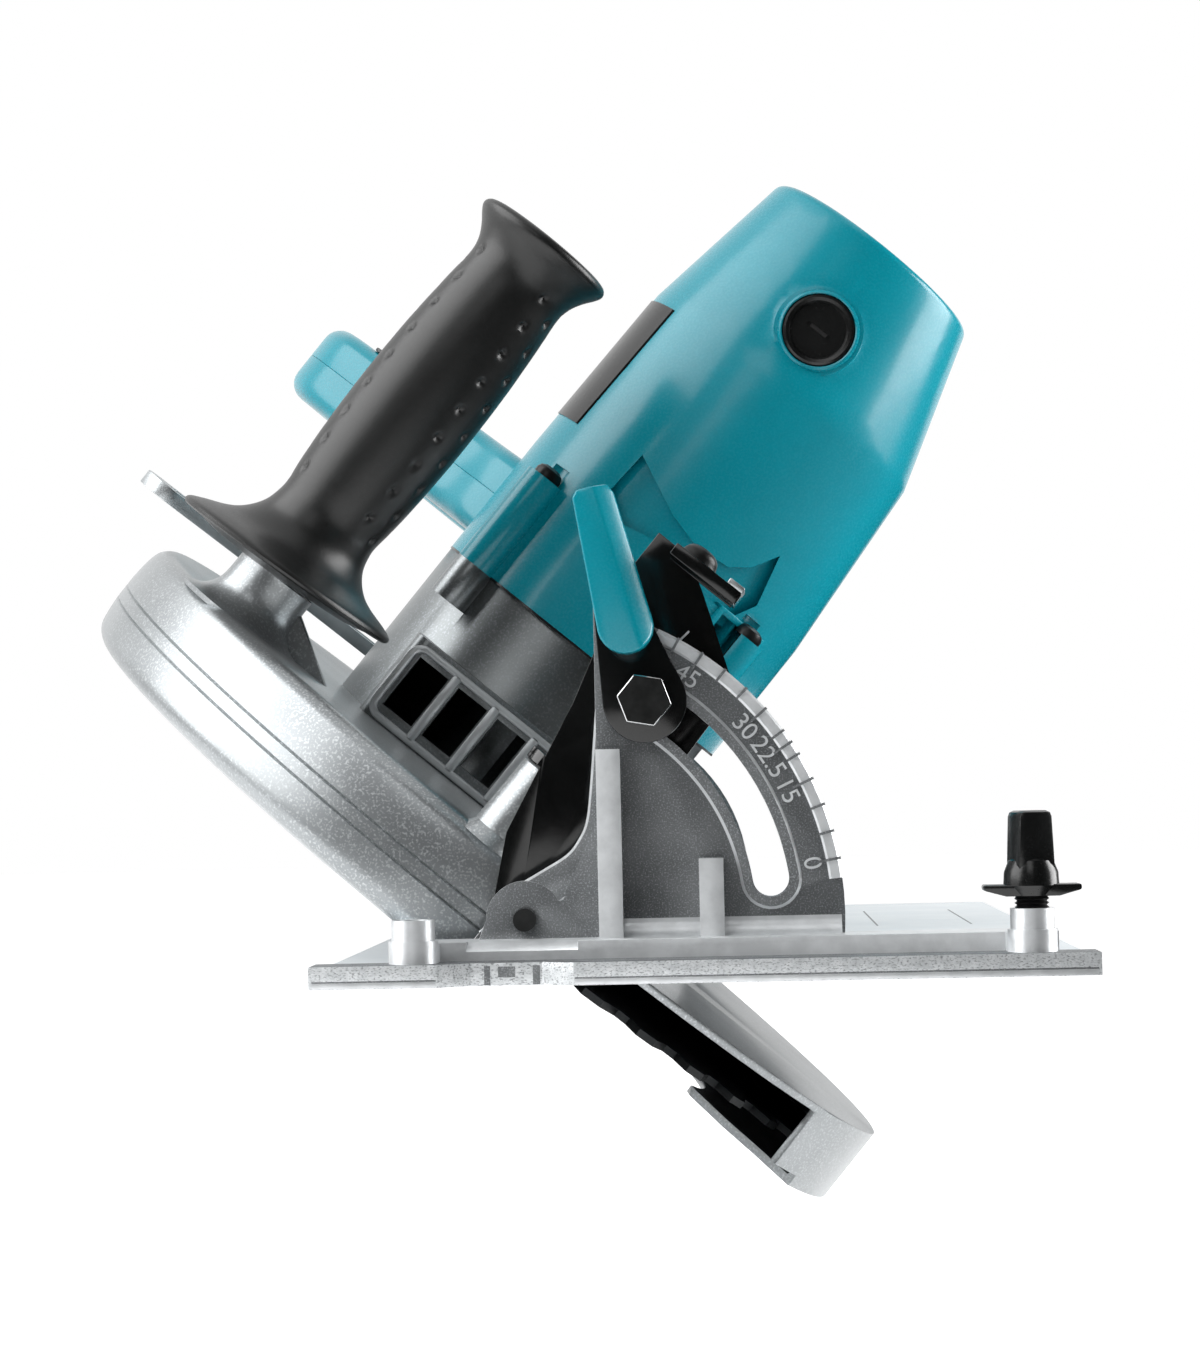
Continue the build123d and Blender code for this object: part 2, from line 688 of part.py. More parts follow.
# Upper guard casting: a hollow half drum with the hub, bearing seat and bosses
arbor = (arbor_y, arbor_z)
guard_bore = 10.0
bearing_right = spindle_bearing_left + spindle_bearing_wide
depth_boss_right = guide_left - seat_gap
notch_inner = guard_lever_radius - 9
notch_outer = guard_lever_radius + 9
guard_screw_places = [(arbor_y + side * guard_screw_step, height)
                      for side in (-1, 1) for height in (guard_screw_low, guard_screw_high)]
with BuildPart() as upper_guard:
    with BuildSketch(Plane.YZ.offset(guard_left)) as drum:
        with Locations(arbor):
            Circle(guard_radius)
        with Locations((arbor_y, guard_bottom + guard_radius)):
            Rectangle(2 * guard_radius, 2 * guard_radius, mode=Mode.INTERSECT)
    extrude(amount=guard_right - guard_left)
    rims = upper_guard.edges().filter_by(GeomType.CIRCLE).sort_by(Axis.X)
    fillet(rims[0], guard_round)
    fillet(upper_guard.edges().filter_by(GeomType.CIRCLE).sort_by(Axis.X)[-1], guard_wall)
    rod_x((guard_left + guard_wall, guard_right - guard_wall), arbor_y, arbor_z,
          guard_radius - guard_wall, Mode.SUBTRACT)
    rod_x((guard_left - 1, guard_left + guard_wall + 1), arbor_y, arbor_z, guard_window, Mode.SUBTRACT)
    rod_x((guard_hub_left, guard_right), arbor_y, arbor_z, guard_hub_radius)
    rod_x((guard_right, bearing_right), arbor_y, arbor_z, spindle_bearing_radius + guard_wall)
    rod_x((guard_hub_left - 1, bearing_right), arbor_y, arbor_z, guard_bore, Mode.SUBTRACT)
    rod_x((spindle_bearing_left, bearing_right + 1), arbor_y, arbor_z, spindle_bearing_radius,
          Mode.SUBTRACT)
    sector_x(arbor, notch_inner, notch_outer, -20, 30, (guard_right - guard_wall - 1, guard_right + 1),
             Mode.SUBTRACT)
    rod_x((guard_right - 1, ear_left - seat_gap), depth_pivot_y, depth_pivot_z, depth_lug_radius)
    rod_x((guard_right, ear_left), depth_pivot_y, depth_pivot_z, depth_pin_radius + running,
          Mode.SUBTRACT)
    rod_x((guard_right - 1, depth_boss_right), depth_bolt_y, depth_bolt_z, 8)
    rod_x((guard_right - 1, grip_start), grip_y, grip_z, grip_boss_radius)
    rod_x((guard_right - guard_wall - 1, grip_start + 1), grip_y, grip_z, grip_bolt_radius, Mode.SUBTRACT)
    rod_x((guard_right - guard_wall - 1, depth_boss_right + 1), depth_bolt_y, depth_bolt_z,
          depth_bolt_radius, Mode.SUBTRACT)
    for screw_y, screw_z in guard_screw_places:
        rod_x((guard_right - guard_wall - 1, guard_right + 1), screw_y, screw_z, guard_screw_radius,
              Mode.SUBTRACT)
save(upper_guard, "upper_guard", tilted)

# Depth clamp: a bolt fixed in the guard's boss and a lever that nips the guide
lever_left = guide_right + seat_gap
depth_lever_turn = 120.0
depth_tip = on_circle((depth_bolt_y, depth_bolt_z), depth_lever_long, depth_lever_turn)
depth_cap_left = lever_left + depth_hub_wide + free
with BuildPart() as depth_bolt:
    rod_x((guard_right - guard_wall, depth_cap_left), depth_bolt_y, depth_bolt_z, depth_bolt_radius)
    rod_x((depth_cap_left, depth_cap_left + depth_cap_thick), depth_bolt_y, depth_bolt_z,
          depth_bolt_radius + depth_cap_thick)
save(depth_bolt, "depth_bolt", tilted)
with BuildPart() as depth_lever:
    rod_x((lever_left, lever_left + depth_hub_wide), depth_bolt_y, depth_bolt_z, depth_hub_radius)
    with BuildSketch(Plane.YZ.offset(lever_left + depth_hub_wide - depth_arm_thick)) as depth_arm:
        with Locations(Location(((depth_bolt_y + depth_tip[0]) / 2, (depth_bolt_z + depth_tip[1]) / 2, 0),
                                (0, 0, depth_lever_turn))):
            SlotOverall(depth_lever_long + depth_arm_wide, depth_arm_wide)
    extrude(amount=depth_arm_thick)
    fillet(depth_lever.faces().sort_by(Axis.X)[-1].edges(), 2)
    rod_x((lever_left - 1, depth_cap_left), depth_bolt_y, depth_bolt_z, depth_bolt_radius + running,
          Mode.SUBTRACT)
save(depth_lever, "depth_lever", tilted)

# Gear housing casting: gear case, bearing web and the framed exhaust vent
web_right = web_left + web_thick
case_left = guard_right + housing_wall
gear_room = 26.0
pinion_room = 12.0
vent_face = arbor_y - vent_reach
web_window_front = arbor_y - housing_radius + web_window_out
vent_step = (vent_high - vent_low - 2 * housing_wall) / vent_count
lug_places = [(arbor_y - lug_screw_offset, motor_centre_z + lug_screw_offset),
              (arbor_y - lug_screw_offset, motor_centre_z - lug_screw_offset),
              (arbor_y + lug_screw_offset, motor_centre_z - lug_screw_offset)]
lug_thread = 2.4
lug_deep = 14.0
with BuildPart() as gear_housing:
    rod_x((guard_right, housing_right), arbor_y, motor_z, housing_radius)
    block((guard_right, vent_right), (vent_face, arbor_y), (vent_low, vent_high))
    fillet(gear_housing.edges().filter_by(Axis.X).sort_by(Axis.Y)[:2], 5)
    for lug_y, lug_z in lug_places:
        rod_x((housing_right - lug_deep, housing_right), lug_y, lug_z, lug_screw_boss)
    rod_x((case_left, housing_right + 1), arbor_y, motor_z, housing_radius - housing_wall, Mode.SUBTRACT)
    block((case_left, vent_right - housing_wall), (vent_face + housing_wall, arbor_y),
          (vent_low + housing_wall, vent_high - housing_wall), Mode.SUBTRACT)
    rod_x((guard_right, web_right), arbor_y, arbor_z, gear_room + housing_wall)
    rod_x((guard_right, web_right), arbor_y, motor_z, pinion_room + housing_wall)
    rod_x((web_left, web_right), arbor_y, motor_z, housing_radius - housing_wall / 2)
    rod_x((case_left, web_left), arbor_y, arbor_z, gear_room, Mode.SUBTRACT)
    rod_x((case_left, web_left), arbor_y, motor_z, pinion_room, Mode.SUBTRACT)
    rod_x((guard_right - 1, case_left + 1), arbor_y, arbor_z, spindle_bearing_radius + guard_wall,
          Mode.SUBTRACT)
    rod_x((web_left - 1, web_left + tail_bearing_wide), arbor_y, arbor_z, tail_bearing_radius,
          Mode.SUBTRACT)
    rod_x((web_right - tail_bearing_wide, web_right + 1), arbor_y, motor_z, front_bearing_radius,
          Mode.SUBTRACT)
    rod_x((web_left - 1, web_right), arbor_y, motor_z, shaft_radius + 1.5, Mode.SUBTRACT)
    block((web_left - 1, web_right + 1), (web_window_front, web_window_front + web_window_deep),
          (motor_z - web_window_tall / 2, motor_z + web_window_tall / 2), Mode.SUBTRACT)
    for window in range(vent_count):
        window_low = vent_low + housing_wall + window * vent_step
        block((case_left + 2, vent_right - housing_wall - 2), (vent_face - 1, vent_face + housing_wall + 1),
              (window_low + 2, window_low + vent_step - 2), Mode.SUBTRACT)
    for lug_y, lug_z in lug_places:
        rod_x((housing_right - lug_deep + 2, housing_right + 1), lug_y, lug_z, lug_thread, Mode.SUBTRACT)
    for screw_y, screw_z in guard_screw_places:
        rod_x((guard_right - 1, case_left + 1), screw_y, screw_z, guard_screw_radius, Mode.SUBTRACT)
    rod_y(lock_x, (arbor_y + gear_room - 2, arbor_y + housing_radius + 1), lock_z, lock_radius + running,
          Mode.SUBTRACT)
save(gear_housing, "gear_housing", tilted)


def motor_form(grow, first, last, mode=Mode.ADD):
    """The motor housing's tapered drum between two stations, grown or shrunk."""
    sections = []
    stations = [(first, motor_radius, motor_centre_z), (lug_screw_x + 8, motor_radius, motor_centre_z),
                (motor_shoulder_x, motor_shoulder_radius, motor_shoulder_z),
                (last, motor_end_radius, motor_end_z)]
    for station, radius, height in stations:
        with BuildSketch(Plane.YZ.offset(station)) as section:
            with Locations((arbor_y, height)):
                Circle(radius + grow)
        sections.append(section.sketch)
    loft(sections, ruled=True, mode=mode)


# Motor housing: a tapered drum with screw lugs, brush bosses and air inlets
inner_end = motor_end - housing_wall
rear_bearing_left = inner_end - rear_bearing_room
brush_boss = brush_cap_radius + 2
brush_seat = brush_cap_reach - 2
stator_span = (stator_left, stator_left + stator_long)
key_inner = stator_radius - key_overlap
key_side_reach = motor_radius - key_side_inset
key_end_reach = motor_radius - key_end_inset
with BuildPart() as motor_housing:
    motor_form(0, housing_right, motor_end)
    fillet(motor_housing.edges().filter_by(GeomType.CIRCLE).sort_by(Axis.X)[-1], motor_end_round)
    for lug_y, lug_z in lug_places:
        rod_x((housing_right, lug_screw_x), lug_y, lug_z, lug_screw_boss)
    for side in (-1, 1):
        rod_y(brush_x, sorted((arbor_y + side * brush_seat, arbor_y + side * 30)), motor_z, brush_boss)
    motor_form(-housing_wall, housing_right - 1, inner_end, Mode.SUBTRACT)
    for side in (-1, 1):
        block(stator_span, sorted((arbor_y + side * key_inner, arbor_y + side * key_side_reach)),
              (motor_z - key_wide / 2, motor_z + key_wide / 2))
        block(stator_span, (arbor_y - key_wide / 2, arbor_y + key_wide / 2),
              sorted((motor_z + side * key_inner, motor_z + side * key_end_reach)))
    rod_x((stator_left - 1, stator_left + stator_long + 1), arbor_y, motor_z, stator_radius, Mode.SUBTRACT)
    rod_x((rear_bearing_left, inner_end + 1), arbor_y, motor_z, rear_bearing_radius + housing_wall)
    rod_x((rear_bearing_left - 1, rear_bearing_left + rear_bearing_wide), arbor_y, motor_z,
          rear_bearing_radius, Mode.SUBTRACT)
    rod_x((rear_bearing_left, inner_end), arbor_y, motor_z, rear_shaft_radius + 1.5, Mode.SUBTRACT)
    rod_y(brush_x, (arbor_y - brush_seat - 1, arbor_y + brush_seat + 1), motor_z, brush_tube_radius,
          Mode.SUBTRACT)
    for step in inlet_steps:
        block((inner_end - 1, motor_end + 1),
              (arbor_y + step - inlet_wide / 2, arbor_y + step + inlet_wide / 2),
              (motor_end_z - inlet_tall / 2, motor_end_z + inlet_tall / 2), Mode.SUBTRACT)
    for lug_y, lug_z in lug_places:
        rod_x((housing_right - 1, lug_screw_x + 1), lug_y, lug_z, lug_thread, Mode.SUBTRACT)
        rod_x((lug_screw_x, lug_screw_x + 6), lug_y, lug_z, lug_screw_head + seat_gap, Mode.SUBTRACT)
    for side in (-1, 1):
        rod_y(brush_x, sorted((arbor_y + side * brush_seat, arbor_y + side * motor_radius)), motor_z,
              brush_cap_radius + seat_gap, Mode.SUBTRACT)
save(motor_housing, "motor_housing", tilted)

# Bare nameplate on the upper front of the motor housing
with BuildPart() as nameplate:
    motor_form(nameplate_thick, housing_right, motor_end)
    motor_form(0, housing_right, motor_end, Mode.SUBTRACT)
    block((nameplate_left, nameplate_right), (arbor_y - nameplate_far, arbor_y - nameplate_near),
          (motor_z, motor_z + motor_radius), Mode.INTERSECT)
save(nameplate, "nameplate", tilted)

# Screws that hold the motor housing to the gear housing
with BuildPart() as housing_screws:
    for lug_y, lug_z in lug_places:
        rod_x((housing_right - lug_deep + 2, lug_screw_x), lug_y, lug_z, lug_thread)
        rod_x((lug_screw_x, lug_screw_x + 4), lug_y, lug_z, lug_screw_head)
save(housing_screws, "housing_screws", tilted)

# Brush caps, brush tubes and carbon brushes on both sides of the commutator
brush_inner = commutator_radius + 3
with BuildPart() as brush_caps:
    for side in (-1, 1):
        face = arbor_y + side * brush_cap_reach
        rod_y(brush_x, sorted((face, arbor_y + side * brush_seat)), motor_z, brush_cap_radius)
        block((brush_x - 8, brush_x + 8), sorted((face - side, face + side)),
              (motor_z - 1.2, motor_z + 1.2), Mode.SUBTRACT)
save(brush_caps, "brush_caps", tilted)
with BuildPart() as brush_holders:
    for side in (-1, 1):
        span = sorted((arbor_y + side * brush_inner, arbor_y + side * brush_seat))
        rod_y(brush_x, span, motor_z, brush_tube_radius)
        block((brush_x - brush_wide / 2, brush_x + brush_wide / 2), span,
              (motor_z - brush_thick / 2, motor_z + brush_thick / 2), Mode.SUBTRACT)
save(brush_holders, "brush_holders", tilted)
with BuildPart() as carbon_brushes:
    for side in (-1, 1):
        span = sorted((arbor_y + side * (commutator_radius + seat_gap), arbor_y + side * brush_seat))
        block((brush_x - brush_wide / 2, brush_x + brush_wide / 2), span,
              (motor_z - brush_thick / 2, motor_z + brush_thick / 2))
save(carbon_brushes, "carbon_brushes", tilted)

# Stator core, field coils and the baffle ahead of the fan
coil_long = 12.0
with BuildPart() as stator_core:
    rod_x(stator_span, arbor_y, motor_z, stator_radius)
    rod_x((stator_left - 1, stator_left + stator_long + 1), arbor_y, motor_z, stator_bore, Mode.SUBTRACT)
save(stator_core, "stator_core", tilted)
with BuildPart() as field_coils:
    for start in (stator_left - coil_long, stator_left + stator_long):
        rod_x((start, start + coil_long), arbor_y, motor_z, stator_radius - 5)
        rod_x((start - 1, start + coil_long + 1), arbor_y, motor_z, stator_bore + 3, Mode.SUBTRACT)
save(field_coils, "field_coils", tilted)
with BuildPart() as fan_baffle:
    rod_x((housing_right, housing_right + 2.5), arbor_y, motor_centre_z, motor_radius - housing_wall)
    rod_x((housing_right - 1, housing_right + 4), arbor_y, motor_z, fan_radius - 9, Mode.SUBTRACT)
save(fan_baffle, "fan_baffle", tilted)


def gear_outline(teeth, root, tip):
    """Points round a spur gear with involute flanks and a tooth on the +Y side."""
    pressure = math.radians(20)
    pitch = gear_module * teeth / 2
    base = pitch * math.cos(pressure)
    half = math.pi / (2 * teeth) - gear_backlash / (2 * pitch) + math.tan(pressure) - pressure
    foot = max(base, root)
    flank = [(root, half)]
    for step in range(4):
        radius = foot + (tip - foot) * step / 3
        roll = math.acos(min(1.0, base / radius))
        flank.append((radius, half - math.tan(roll) + roll))
    points = []
    for tooth in range(teeth):
        middle = 2 * math.pi * tooth / teeth
        rising = [(radius, middle - turn) for radius, turn in flank]
        falling = [(radius, middle + turn) for radius, turn in reversed(flank)]
        points += [(radius * math.cos(turn), radius * math.sin(turn)) for radius, turn in rising + falling]
    return points


# Armature: shaft with its cut pinion, laminated core, commutator and fan
gear_pitch = gear_module * gear_teeth / 2
pinion_pitch = gear_module * pinion_teeth / 2
gear_tip = gear_pitch + gear_short_tip * gear_module
pinion_tip = pinion_pitch + gear_module
mesh_clearance = 0.25
gear_root = gear_distance - pinion_tip - mesh_clearance
pinion_root = gear_distance - gear_tip - mesh_clearance
pinion_span = (gear_left - 1, gear_left + gear_wide + 0.5)
shaft_end = rear_bearing_left + rear_bearing_wide + 1
with BuildPart() as armature_shaft:
    with BuildSketch(Plane.YZ.offset(pinion_span[0])) as pinion:
        with Locations((arbor_y, motor_z)):
            Polygon(*gear_outline(pinion_teeth, pinion_root, pinion_tip), align=None)
    extrude(pinion.sketch, amount=pinion_span[1] - pinion_span[0])
    rod_x((pinion_span[1] - 1, rear_bearing_left - 2), arbor_y, motor_z, shaft_radius)
    rod_x((rear_bearing_left - 3, shaft_end), arbor_y, motor_z, rear_shaft_radius)
save(armature_shaft, "armature_shaft", tilted)
with BuildPart() as armature_core:
    rod_x((stator_left - 6, stator_left + stator_long + 6), arbor_y, motor_z, rotor_radius)
    rod_x((stator_left - 7, stator_left + stator_long + 7), arbor_y, motor_z, shaft_radius, Mode.SUBTRACT)
save(armature_core, "armature_core", tilted)
with BuildPart() as commutator:
    rod_x((commutator_left, commutator_left + commutator_long), arbor_y, motor_z, commutator_radius)
    rod_x((commutator_left - 1, commutator_left + commutator_long + 1), arbor_y, motor_z, shaft_radius,
          Mode.SUBTRACT)
save(commutator, "commutator", tilted)
with BuildPart() as cooling_fan:
    rod_x((fan_left, fan_left + fan_wide), arbor_y, motor_z, shaft_radius + 5)
    rod_x((fan_left + fan_wide - 2, fan_left + fan_wide), arbor_y, motor_z, fan_radius)
    with BuildSketch(Plane.YZ.offset(fan_left)) as blades:
        with Locations((arbor_y, motor_z)):
            with PolarLocations((fan_radius + shaft_radius + 3) / 2, fan_blades):
                Rectangle(fan_radius - shaft_radius - 5, 2.2)
    extrude(blades.sketch, amount=fan_wide - 1)
    rod_x((fan_left - 1, fan_left + fan_wide + 1), arbor_y, motor_z, shaft_radius, Mode.SUBTRACT)
save(cooling_fan, "cooling_fan", tilted)

# Spindle with the drive gear, clamping flanges, blade and blade bolt
gear_right = gear_left + gear_wide
outer_flange_left = blade_left - outer_flange_thick
flange_spigot = blade_bore
bolt_reach = 18.0
with BuildPart() as spindle:
    rod_x((blade_left, gear_right + 1), arbor_y, arbor_z, spindle_radius)
    rod_x((gear_right + 1, web_left + tail_bearing_wide - 0.5), arbor_y, arbor_z, spindle_tail_radius)
    rod_x((blade_left - 1, blade_left + bolt_reach), arbor_y, arbor_z, blade_bolt_radius, Mode.SUBTRACT)
save(spindle, "spindle", tilted)
with BuildPart() as drive_gear:
    with BuildSketch(Plane.YZ.offset(gear_left)) as wheel:
        with Locations(arbor):
            Polygon(*gear_outline(gear_teeth, gear_root, gear_tip), align=None)
            Circle(spindle_radius, mode=Mode.SUBTRACT)
    extrude(wheel.sketch, amount=gear_wide)
save(drive_gear, "drive_gear", tilted)
with BuildPart() as inner_flange:
    rod_x((blade_right, flange_right), arbor_y, arbor_z, flange_radius)
    rod_x((blade_left, blade_right), arbor_y, arbor_z, flange_spigot)
    rod_x((blade_left - 1, flange_right + 1), arbor_y, arbor_z, spindle_radius, Mode.SUBTRACT)
save(inner_flange, "inner_flange", tilted)
with BuildPart() as outer_flange:
    rod_x((outer_flange_left, blade_left), arbor_y, arbor_z, flange_radius)
    chamfer(outer_flange.edges().sort_by(Axis.X)[0], outer_flange_thick / 3)
    rod_x((outer_flange_left - 1, blade_left + 1), arbor_y, arbor_z, blade_bolt_radius, Mode.SUBTRACT)
save(outer_flange, "outer_flange", tilted)
with BuildPart() as blade_bolt:
    hexagon_x(arbor_y, arbor_z, blade_bolt_flats, (outer_flange_left - 5, outer_flange_left))
    rod_x((outer_flange_left, blade_left + bolt_reach - 1), arbor_y, arbor_z, blade_bolt_radius)
save(blade_bolt, "blade_bolt", tilted)


def blade_outline():
    """Points round the blade: a raked tooth face, a sloping back and a gullet."""
    points = []
    pitch_turn = 360 / blade_teeth
    for tooth in range(blade_teeth):
        start = tooth * pitch_turn
        points.append(on_circle((0, 0), blade_radius, start))
        points.append(on_circle((0, 0), blade_radius - 1.2, start + 0.35 * pitch_turn))
        points.append(on_circle((0, 0), blade_radius - 8, start + 0.75 * pitch_turn))
        points.append(on_circle((0, 0), blade_radius - 7, start + 0.95 * pitch_turn))
    return points


with BuildPart() as saw_blade:
    with BuildSketch(Plane.YZ.offset(blade_left)) as teeth:
        with Locations(arbor):
            Polygon(*blade_outline(), align=None)
            Circle(blade_bore, mode=Mode.SUBTRACT)
    extrude(teeth.sketch, amount=blade_thick)
save(saw_blade, "saw_blade", tilted)

# Bearings of the spindle and the armature, and the plate that keeps the front one
with BuildPart() as spindle_bearings:
    rod_x((spindle_bearing_left, bearing_right), arbor_y, arbor_z, spindle_bearing_radius)
    rod_x((spindle_bearing_left - 1, bearing_right + 1), arbor_y, arbor_z, spindle_radius + running,
          Mode.SUBTRACT)
    rod_x((web_left, web_left + tail_bearing_wide), arbor_y, arbor_z, tail_bearing_radius)
    rod_x((web_left - 1, web_left + tail_bearing_wide + 1), arbor_y, arbor_z, spindle_tail_radius + running,
          Mode.SUBTRACT)
save(spindle_bearings, "spindle_bearings", tilted)
with BuildPart() as armature_bearings:
    rod_x((web_right - tail_bearing_wide, web_right), arbor_y, motor_z, front_bearing_radius)
    rod_x((web_right - tail_bearing_wide - 1, web_right + 1), arbor_y, motor_z, shaft_radius + running,
          Mode.SUBTRACT)
    rod_x((rear_bearing_left, rear_bearing_left + rear_bearing_wide), arbor_y, motor_z, rear_bearing_radius)
    rod_x((rear_bearing_left - 1, rear_bearing_left + rear_bearing_wide + 1), arbor_y, motor_z,
          rear_shaft_radius + running, Mode.SUBTRACT)
save(armature_bearings, "armature_bearings", tilted)
with BuildPart() as bearing_retainer:
    rod_x((bearing_right, bearing_right + 1.5), arbor_y, arbor_z, spindle_bearing_radius + guard_wall)
    rod_x((bearing_right - 1, bearing_right + 3), arbor_y, arbor_z, spindle_radius + 3, Mode.SUBTRACT)
save(bearing_retainer, "bearing_retainer", tilted)

# Lower guard: two walls and a rim that swing about the upper guard's hub
lower_wall_left = lower_right - lower_wall
rim_inner = lower_radius - lower_wall
lower_hub = guard_hub_radius + lower_hub_wall
finger_inner = lower_radius - finger_wide - finger_notch
lever_spot = on_circle(arbor, guard_lever_radius, guard_lever_angle)
with BuildPart() as lower_guard:
    sector_x(arbor, guard_hub_radius + 4, lower_radius, lower_start, lower_end, (lower_wall_left, lower_right))
    rod_x((lower_wall_left, lower_right), arbor_y, arbor_z, lower_hub)
    sector_x(arbor, left_wall_inner, lower_radius, left_wall_start, lower_end,
             (lower_left, lower_left + lower_wall))
    sector_x(arbor, rim_inner, lower_radius, lower_rim_start, lower_end, (lower_left, lower_right))
    rod_x((lower_wall_left - 1, lower_right + 1), arbor_y, arbor_z, guard_hub_radius + running,
          Mode.SUBTRACT)
    sector_x(arbor, finger_inner, lower_radius - finger_wide, left_wall_start - 1,
             left_wall_start + finger_turn, (lower_left - 1, lower_left + lower_wall + 1), Mode.SUBTRACT)
save(lower_guard, "lower_guard", tilted)
with BuildPart() as guard_lever:
    rod_x((lower_right, guard_lever_reach - 4), *lever_spot, 3.5)
    rod_x((guard_lever_reach - 9, guard_lever_reach), *lever_spot, 5)
    fillet(guard_lever.edges().sort_by(Axis.X)[-1], 2)
save(guard_lever, "guard_lever", tilted)
snap_ring_right = lower_wall_left - seat_gap
with BuildPart() as guard_snap_ring:
    rod_x((snap_ring_right - 1.6, snap_ring_right), arbor_y, arbor_z, guard_hub_radius + 5)
    rod_x((snap_ring_right - 3, snap_ring_right + 1), arbor_y, arbor_z, guard_hub_radius, Mode.SUBTRACT)
save(guard_snap_ring, "guard_snap_ring", tilted)
spring_wire = 0.8
spring_radius = guard_hub_radius + seat_gap + spring_wire
spring_right = snap_ring_right - 1.6 - spring_wire - seat_gap
with BuildPart() as guard_spring:
    with BuildLine():
        coil = Helix(2.2, 1.1, spring_radius, center=(spring_right - 1.1, arbor_y, arbor_z),
                     direction=(1, 0, 0))
    with BuildSketch(Plane(origin=coil @ 0, z_dir=coil % 0)):
        Circle(spring_wire)
    sweep()
save(guard_spring, "guard_spring", tilted)

# Front grip: a flared rubber handle on a steel core screwed to the guard's boss
grip_profile = [(0, grip_foot_radius - 2.5), (2, grip_foot_radius), (5, grip_foot_radius - 2.5),
                (12, grip_foot_radius - 10.5), (21, grip_radius + 5), (33, grip_radius + 1),
                (45, grip_radius), (92, grip_radius - 0.4), (110, grip_radius + 0.2),
                (119, grip_top_radius - 1.8), (125, grip_top_radius)]
with BuildPart() as front_grip:
    with BuildSketch(Plane.XY.offset(grip_z)) as half_grip:
        with BuildLine():
            edge = Spline(*((grip_start + along, grip_y + reach) for along, reach in grip_profile))
            Polyline(edge @ 1, (grip_end, grip_y + grip_top_radius - 2), (grip_end, grip_y),
                     (grip_start, grip_y), edge @ 0)
        make_face()
    revolve(axis=Axis((0, grip_y, grip_z), (1, 0, 0)))
    rod_x((grip_start - 1, grip_end - 8), grip_y, grip_z, grip_bolt_radius, Mode.SUBTRACT)
save(front_grip, "front_grip", tilted)
with BuildPart() as grip_bolt:
    rod_x((guard_right - guard_wall, grip_end - 8), grip_y, grip_z, grip_bolt_radius)
save(grip_bolt, "grip_bolt", tilted)

# Screws from inside the guard into the gear housing
with BuildPart() as guard_screws:
    for screw_y, screw_z in guard_screw_places:
        rod_x((guard_right - guard_wall, case_left), screw_y, screw_z, guard_screw_radius)
save(guard_screws, "guard_screws", tilted)

# Spindle lock button on the rear of the gear housing
lock_face = arbor_y + housing_radius
with BuildPart() as shaft_lock_button:
    rod_y(lock_x, (arbor_y + gear_room + 4, lock_face + lock_travel + 1), lock_z, lock_radius)
    rod_y(lock_x, (lock_face + lock_travel + 0.5, lock_face + lock_travel + 6), lock_z, lock_radius + 3)
    fillet(shaft_lock_button.edges().sort_by(Axis.Y)[-1], 2)
save(shaft_lock_button, "shaft_lock_button", tilted)

# Rear handle: a hollow D loop in two halves, set on the motor housing
motor_middle = (arbor_y, motor_centre_z)
handle_outer = [(17, 28), (28, 56), (60, 84), (94, 132), (116, 152), (142, 153), (177, 128),
                (204, 84), (212, 48), (206, 14), (184, -6), (132, -11), (37, -16)]
handle_opening = [(68, 22), (72, 70), (120, 124), (143, 122), (168, 98), (182, 68), (184, 42),
                  (170, 24), (132, 21)]
handle_screws_from_motor = [(102, 5), (170, 9), (45, 54), (102, 128), (197, 52)]
handle_screw_places = [(arbor_y + behind, motor_centre_z + up) for behind, up in handle_screws_from_motor]


def handle_form(x, shrink, mode=Mode.ADD):
    """The handle's D outline across X, thinned on every side by shrink."""
    with BuildSketch(Plane.YZ.offset(x[0])) as loop:
        with Locations(motor_middle):
            Polygon(*handle_outer, align=None)
        fillet(loop.vertices(), handle_corner)
        offset(amount=-shrink)
    with BuildSketch(Plane.YZ.offset(x[0])) as opening:
        with Locations(motor_middle):
            Polygon(*handle_opening, align=None)
        fillet(opening.vertices(), handle_corner / 1.5)
        offset(amount=shrink)
    extrude(loop.sketch - opening.sketch, amount=x[1] - x[0], mode=mode)


def cut_handle(inside):
    """Hollow a handle half and cut its seat, trigger window, button and cord holes."""
    handle_form(inside, handle_wall, Mode.SUBTRACT)
    rod_x((handle_left - 1, handle_right + 1), arbor_y, motor_centre_z, motor_radius + 0.1, Mode.SUBTRACT)
    block((handle_x - trigger_wide / 2 - free, handle_x + trigger_wide / 2 + free),
          (trigger_front - free, trigger_rear + free), (trigger_low, trigger_top), Mode.SUBTRACT)
    rod_x((handle_left - 1, handle_right + 1), lock_off_y, lock_off_z, lock_off_radius + running,
          Mode.SUBTRACT)
    rod_y(handle_x, (gland_end - gland_long, gland_end), gland_z, gland_radius, Mode.SUBTRACT)


thin = 0.001
with BuildPart() as rear_handle_left:
    handle_form((handle_left, handle_x), thin)
    fillet(rear_handle_left.faces().sort_by(Axis.X)[0].edges(), handle_round)
    cut_handle((handle_left + handle_wall, handle_x + 1))
save(rear_handle_left, "rear_handle_left", tilted)
with BuildPart() as rear_handle_right:
    handle_form((handle_x, handle_right), thin)
    fillet(rear_handle_right.faces().sort_by(Axis.X)[-1].edges(), handle_round)
    cut_handle((handle_x - 1, handle_right - handle_wall))
save(rear_handle_right, "rear_handle_right", tilted)
with BuildPart() as handle_screws:
    for screw_y, screw_z in handle_screw_places:
        rod_x((handle_right, handle_right + 1.4), screw_y, screw_z, 3.6)
save(handle_screws, "handle_screws", tilted)

